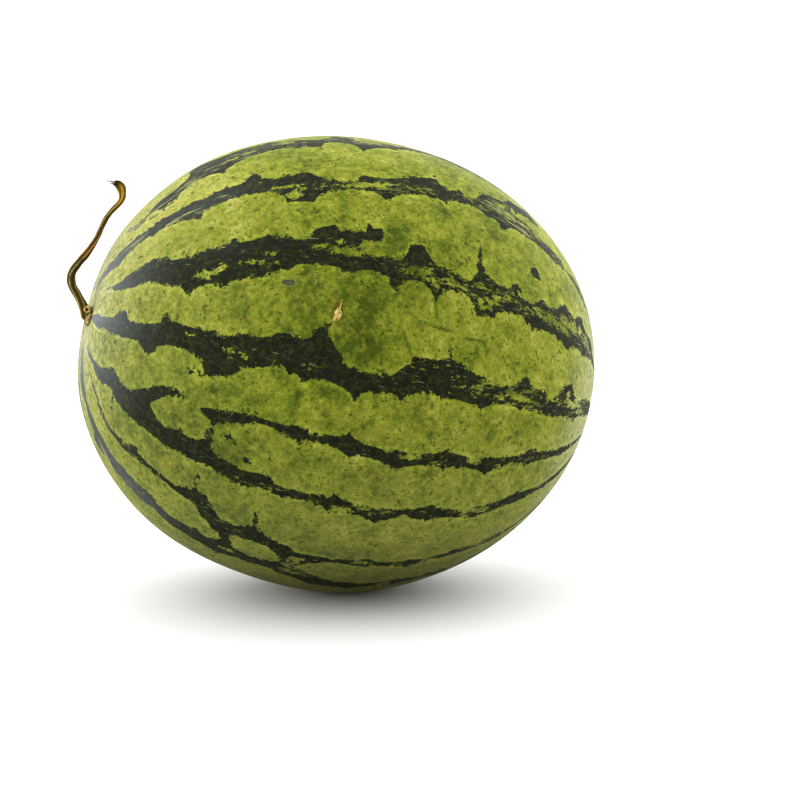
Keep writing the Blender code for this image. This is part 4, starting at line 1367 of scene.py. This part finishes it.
def build_callus(pole_point):
    """The corky foot: a low lobed dome over the stem pole with knobs, hollowed to follow the skin."""
    turn = full_turn(CALLUS_SIDES)
    lobes = sum(share * np.cos(count * turn + start) for count, share, start in CALLUS_LOBES)
    reach = CALLUS_RADIUS * (1 + lobes)
    out = dome_steps(CALLUS_RINGS)
    inside_rim = 1 - out**RIM_POWER
    dome = GAP + CALLUS_RIM + (CALLUS_HEIGHT - CALLUS_RIM) * (1 - out**2) ** CALLUS_FALL
    distance = out * reach
    for away, around_at, width, height in CALLUS_KNOBS:
        at = math.radians(around_at)
        ahead = distance * np.cos(turn) - away / MM * math.cos(at)
        upward = distance * np.sin(turn) - away / MM * math.sin(at)
        dome = dome + height / MM * bell(np.hypot(ahead, upward), width / MM / KNOB_STEEPNESS) * inside_rim
    height, count, twist = CALLUS_WRINKLES
    dome = dome + height * np.cos(count * turn + twist * out) * out * inside_rim
    distance = np.vstack([distance, UNDERSIDE_RINGS * reach])
    lift = np.vstack([dome, np.full((2, CALLUS_SIDES), GAP)])
    along = np.degrees(distance / (FRUIT_LENGTH / 2))
    directions = direction(along, np.broadcast_to(np.degrees(turn), along.shape))
    rings = CENTRE + directions * (rind_radius(directions) + lift)[..., None]
    tips = [pole_point + STEM_POLE * height for height in (GAP + CALLUS_HEIGHT, GAP)]
    return closed_piece("callus", rings, tips)


def build_curl(pole_point):
    """The dried curl beside the stalk's foot: a ring of round section, uneven in thickness."""
    sweep = full_turn(CURL_STEPS)[:, None]
    turn = full_turn(CURL_SIDES)[:, None]
    spoke = np.cos(sweep) * BROAD_ACROSS + np.sin(sweep) * UP
    thick = (CURL_THICKNESS * (1 + CURL_UNEVENNESS * np.sin(sweep + CURL_PHASE)))[:, None]
    middle = pole_point + np.array(CURL_PLACE_MM) / MM
    rings = middle + (CURL_RADIUS + thick * np.cos(turn)) * spoke[:, None]
    rings = kept_off_rind(rings + thick * np.sin(turn) * BROAD_FACE, GAP)
    faces = ring_faces(CURL_STEPS, CURL_SIDES, looped=True)
    return turned_out(mesh_piece("curl", rings.reshape(-1, 3), [faces]))


# Wisps of torn fibre at the stalk's tip: mm from the stem pole, and radius in mm
WISPS_MM = (
    ((12.4, 4.0, 60.3, 0.42), (10.9, 3.5, 60.8, 0.36), (9.4, 3.1, 61.2, 0.28), (8.0, 2.8, 61.4, 0.12)),
    ((12.2, 4.1, 59.8, 0.34), (10.7, 3.7, 60.0, 0.26), (9.2, 3.3, 60.4, 0.12)),
)


def build_wisps(pole_point):
    """Thin torn fibres: tubes along smooth routes that taper to their ends."""
    turn = full_turn(WISP_SIDES)[:, None]
    points, faces = [], []
    for knots in WISPS_MM:
        route = smooth_route(np.array(knots) / MM, WISP_RINGS)
        sideways, outward, _ = tube_axes(route[:, :3])
        spoke = np.cos(turn) * sideways[:, None] + np.sin(turn) * outward[:, None]
        rings = pole_point + route[:, None, :3] + route[:, 3:4, None] * spoke
        faces += closed_faces(WISP_RINGS, WISP_SIDES, sum(len(block) for block in points))
        points += [rings.reshape(-1, 3), rings[:1].mean(axis=1), rings[-1:].mean(axis=1)]
    return turned_out(mesh_piece("wisps", np.concatenate(points), faces))


STALK_STOPS = (
    (0.00, (0.150, 0.085, 0.022)),
    (0.12, (0.085, 0.058, 0.012)),
    (0.26, (0.052, 0.042, 0.006)),
    (0.40, (0.080, 0.046, 0.007)),
    (0.47, (0.170, 0.058, 0.007)),
    (0.56, (0.085, 0.038, 0.005)),
    (0.70, (0.070, 0.042, 0.006)),
    (0.80, (0.190, 0.110, 0.009)),
    (0.90, (0.420, 0.230, 0.014)),
    (0.945, (0.340, 0.200, 0.016)),
    (0.975, (0.050, 0.036, 0.010)),
    (1.00, (0.010, 0.008, 0.004)),
)
# Straw of the ridge lines, partly painted highlight
STALK_STRAW_AND_HIGHLIGHT = (0.50, 0.34, 0.06)
# Painted shade in the stalk's grooves
STALK_SHADE = (0.012, 0.009, 0.004)
CALLUS_STOPS = ((0.38, (0.032, 0.018, 0.004)), (0.5, (0.230, 0.145, 0.034)), (0.63, (0.60, 0.46, 0.18)))
CURL_STOPS = ((0.35, (0.160, 0.090, 0.020)), (0.5, (0.380, 0.270, 0.075)), (0.65, (0.66, 0.52, 0.21)))
# Painted shade in the hollow that the curl encloses
CURL_HOLLOW_SHADE = (0.016, 0.008, 0.002)
WISP_GREY = (0.22, 0.23, 0.15)


def curl_hollow_shade_share(f, place, pole_point):
    """1 in the round hollow that the curl encloses, followed straight back along the curl's axis for 3 mm:
    where painted shade goes.
    """
    middle = tuple(pole_point * MM + np.array(CURL_PLACE_MM))
    away = f.node("VectorMath", {"operation": "SUBTRACT"}, {0: place, 1: middle})
    sideways = f.along_way(away, tuple(BROAD_ACROSS))
    forward = f.along_way(away, tuple(BROAD_FACE))
    upward = f.parts(away)[2]
    apart = (sideways * sideways + upward * upward).power(0.5)
    return apart.between(1.0, 0.7) * forward.between(-3.5, -2.5)


def stalk_finish(pole_point):
    """Dried brown with straw-coloured ridge lines that are partly painted highlight, painted shade in the
    grooves and where the curl's hollow shows, golden at the hood, black at its end.
    """
    f = Finish("dried stalk")
    share, ridge, fibre = f.measures("stalk_growth")
    place = f.place()
    colour = f.ramp(share, STALK_STOPS)
    worn = f.noise(place, 1.6, 3, 0.6)
    # Painted shade in the grooves between the ridges
    groove_shade = (ridge + fibre * 0.3 + (worn - 0.5) * 0.8).between(-0.1, -0.9)
    colour = f.blended(colour, STALK_SHADE, groove_shade * 0.85)
    # Straw-coloured ridge crests, partly painted highlight
    crest_and_highlight = (ridge + fibre * 0.25 + (worn - 0.5) * 0.9).between(0.62, 1.05)
    fade = share.between(0.99, 0.93)
    colour = f.blended(colour, STALK_STRAW_AND_HIGHLIGHT, crest_and_highlight * fade * 0.75)
    # Painted shade where the curl's hollow shows
    colour = f.blended(colour, CURL_HOLLOW_SHADE, curl_hollow_shade_share(f, place, pole_point) * 0.9)
    normal = f.bump(worn * 0.6 + fibre * 0.15, *DRIED_BUMP)
    return f.finished(colour, 0.6, normal, Specular_IOR_Level=STEM_MIRRORS)


def callus_finish(pole_point):
    """Corky tan and brown, and painted shade in the hollow of the curl."""
    f = Finish("corky callus")
    place = f.place()
    tone = f.noise(place, 0.9, 3, 0.65, 0.4)
    colour = f.ramp(tone, CALLUS_STOPS)
    # Painted shade in the curl's hollow
    colour = f.blended(colour, CURL_HOLLOW_SHADE, curl_hollow_shade_share(f, place, pole_point) * 0.9)
    return f.finished(colour, 0.7, f.bump(tone, *CORKY_BUMP), Specular_IOR_Level=STEM_MIRRORS)


def curl_finish():
    """Straw and tan, like the callus but paler."""
    f = Finish("dried curl")
    tone = f.noise(f.place(), 0.8, 3, 0.65, 0.4)
    colour = f.ramp(tone, CURL_STOPS)
    return f.finished(colour, 0.7, f.bump(tone, *DRIED_BUMP), Specular_IOR_Level=STEM_MIRRORS)


def wisp_finish():
    """Plain greenish grey."""
    f = Finish("torn fibre")
    return f.finished(WISP_GREY, 0.7, Specular_IOR_Level=WISP_MIRRORS)


# Camera, light and floor


def build_camera():
    """The photograph's camera: on a line from the fruit's middle, turned until that shows at its pixel."""
    back = np.array([
        math.sin(CAMERA_AZIMUTH) * math.cos(CAMERA_ELEVATION),
        -math.cos(CAMERA_AZIMUTH) * math.cos(CAMERA_ELEVATION),
        math.sin(CAMERA_ELEVATION),
    ])
    focal = LENS_MM / SENSOR_MM * PICTURE_PIXELS
    right_part = (MIDDLE_PIXEL[0] - PICTURE_PIXELS / 2) / focal
    up_part = (PICTURE_PIXELS / 2 - MIDDLE_PIXEL[1]) / focal
    size = math.sqrt(1 + right_part**2 + up_part**2)
    rise = -math.sin(CAMERA_ELEVATION)
    pitch = math.asin(size * rise / math.sqrt(1 + up_part**2)) - math.atan(up_part)
    swing = math.asin(right_part / size / math.cos(CAMERA_ELEVATION))
    heading = math.atan2(-back[1], -back[0]) + swing
    data = bpy.data.cameras.new("camera")
    data.lens = LENS_MM
    data.sensor_width = SENSOR_MM
    camera = bpy.data.objects.new("camera", data)
    bpy.context.scene.collection.objects.link(camera)
    camera.location = CENTRE + back * CAMERA_DISTANCE
    camera.rotation_euler = (math.pi / 2 + pitch, 0.0, heading - math.pi / 2)
    bpy.context.scene.camera = camera


# Soft light: where each broad lobe comes from, and how strong it is
LIGHT_LOBES = (
    ((-0.920, 0.390, 0.0), 6.0),
    ((0.910, 0.415, 0.0), 5.0),
    ((0.0, 0.0, 1.0), 2.1),
    ((0.174, 0.985, 0.0), 0.8),
)
SKY_BASE = 0.02
SKY_COLOUR = (1.0, 1.0, 1.0)
FLOOR_RADIUS = 30.0
FLOOR_SIDES = 64
FLOOR_COLOUR = (0.62, 0.62, 0.62)


def build_light():
    """Broad soft light from the left, the right and above, and little from the camera's side: each lobe's
    strength times the squared cosine to its own direction."""
    world = bpy.data.worlds.new("studio")
    world.use_nodes = True
    bpy.context.scene.world = world
    f = Nodes(world.node_tree)
    towards = f.node("TexCoord", {}, {}, output=0)
    strength = SKY_BASE
    for heading, power in LIGHT_LOBES:
        strength = f.along_way(towards, heading).most(0.0).power(2.0) * power + strength
    background = world.node_tree.nodes["Background"]
    background.inputs["Color"].default_value = (*SKY_COLOUR, 1.0)
    f.feed(background.inputs["Strength"], strength)
    bpy.context.scene.view_settings.view_transform = "Standard"


def build_floor():
    """A wide flat disc, level with the lowest point of the fruit."""
    turn = full_turn(FLOOR_SIDES)
    rim = np.stack([FLOOR_RADIUS * np.cos(turn), FLOOR_RADIUS * np.sin(turn), 0 * turn], axis=1)
    faces = fan_faces(0, FLOOR_SIDES, FLOOR_SIDES, reverse=True)
    floor = mesh_piece("floor", np.concatenate([rim, [[0, 0, 0]]]), [faces])
    f = Finish("pale floor")
    floor.data.materials.append(f.finished(FLOOR_COLOUR, 0.7))


build_camera()
build_light()
build_floor()

rind = build_rind()
rind.data.materials.append(rind_finish())
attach(rind, "root")
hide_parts("fruit")

scab = build_scab()
scab.data.materials.append(scab_finish())
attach(scab, "root")

pole_point = on_rind([0.0], [0.0])[0]
stem_pieces = (
    (build_stalk(pole_point), stalk_finish(pole_point)),
    (build_callus(pole_point), callus_finish(pole_point)),
    (build_curl(pole_point), curl_finish()),
    (build_wisps(pole_point), wisp_finish()),
)
for piece, finish in stem_pieces:
    piece.data.materials.append(finish)
    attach(piece, "root")
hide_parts("stem")
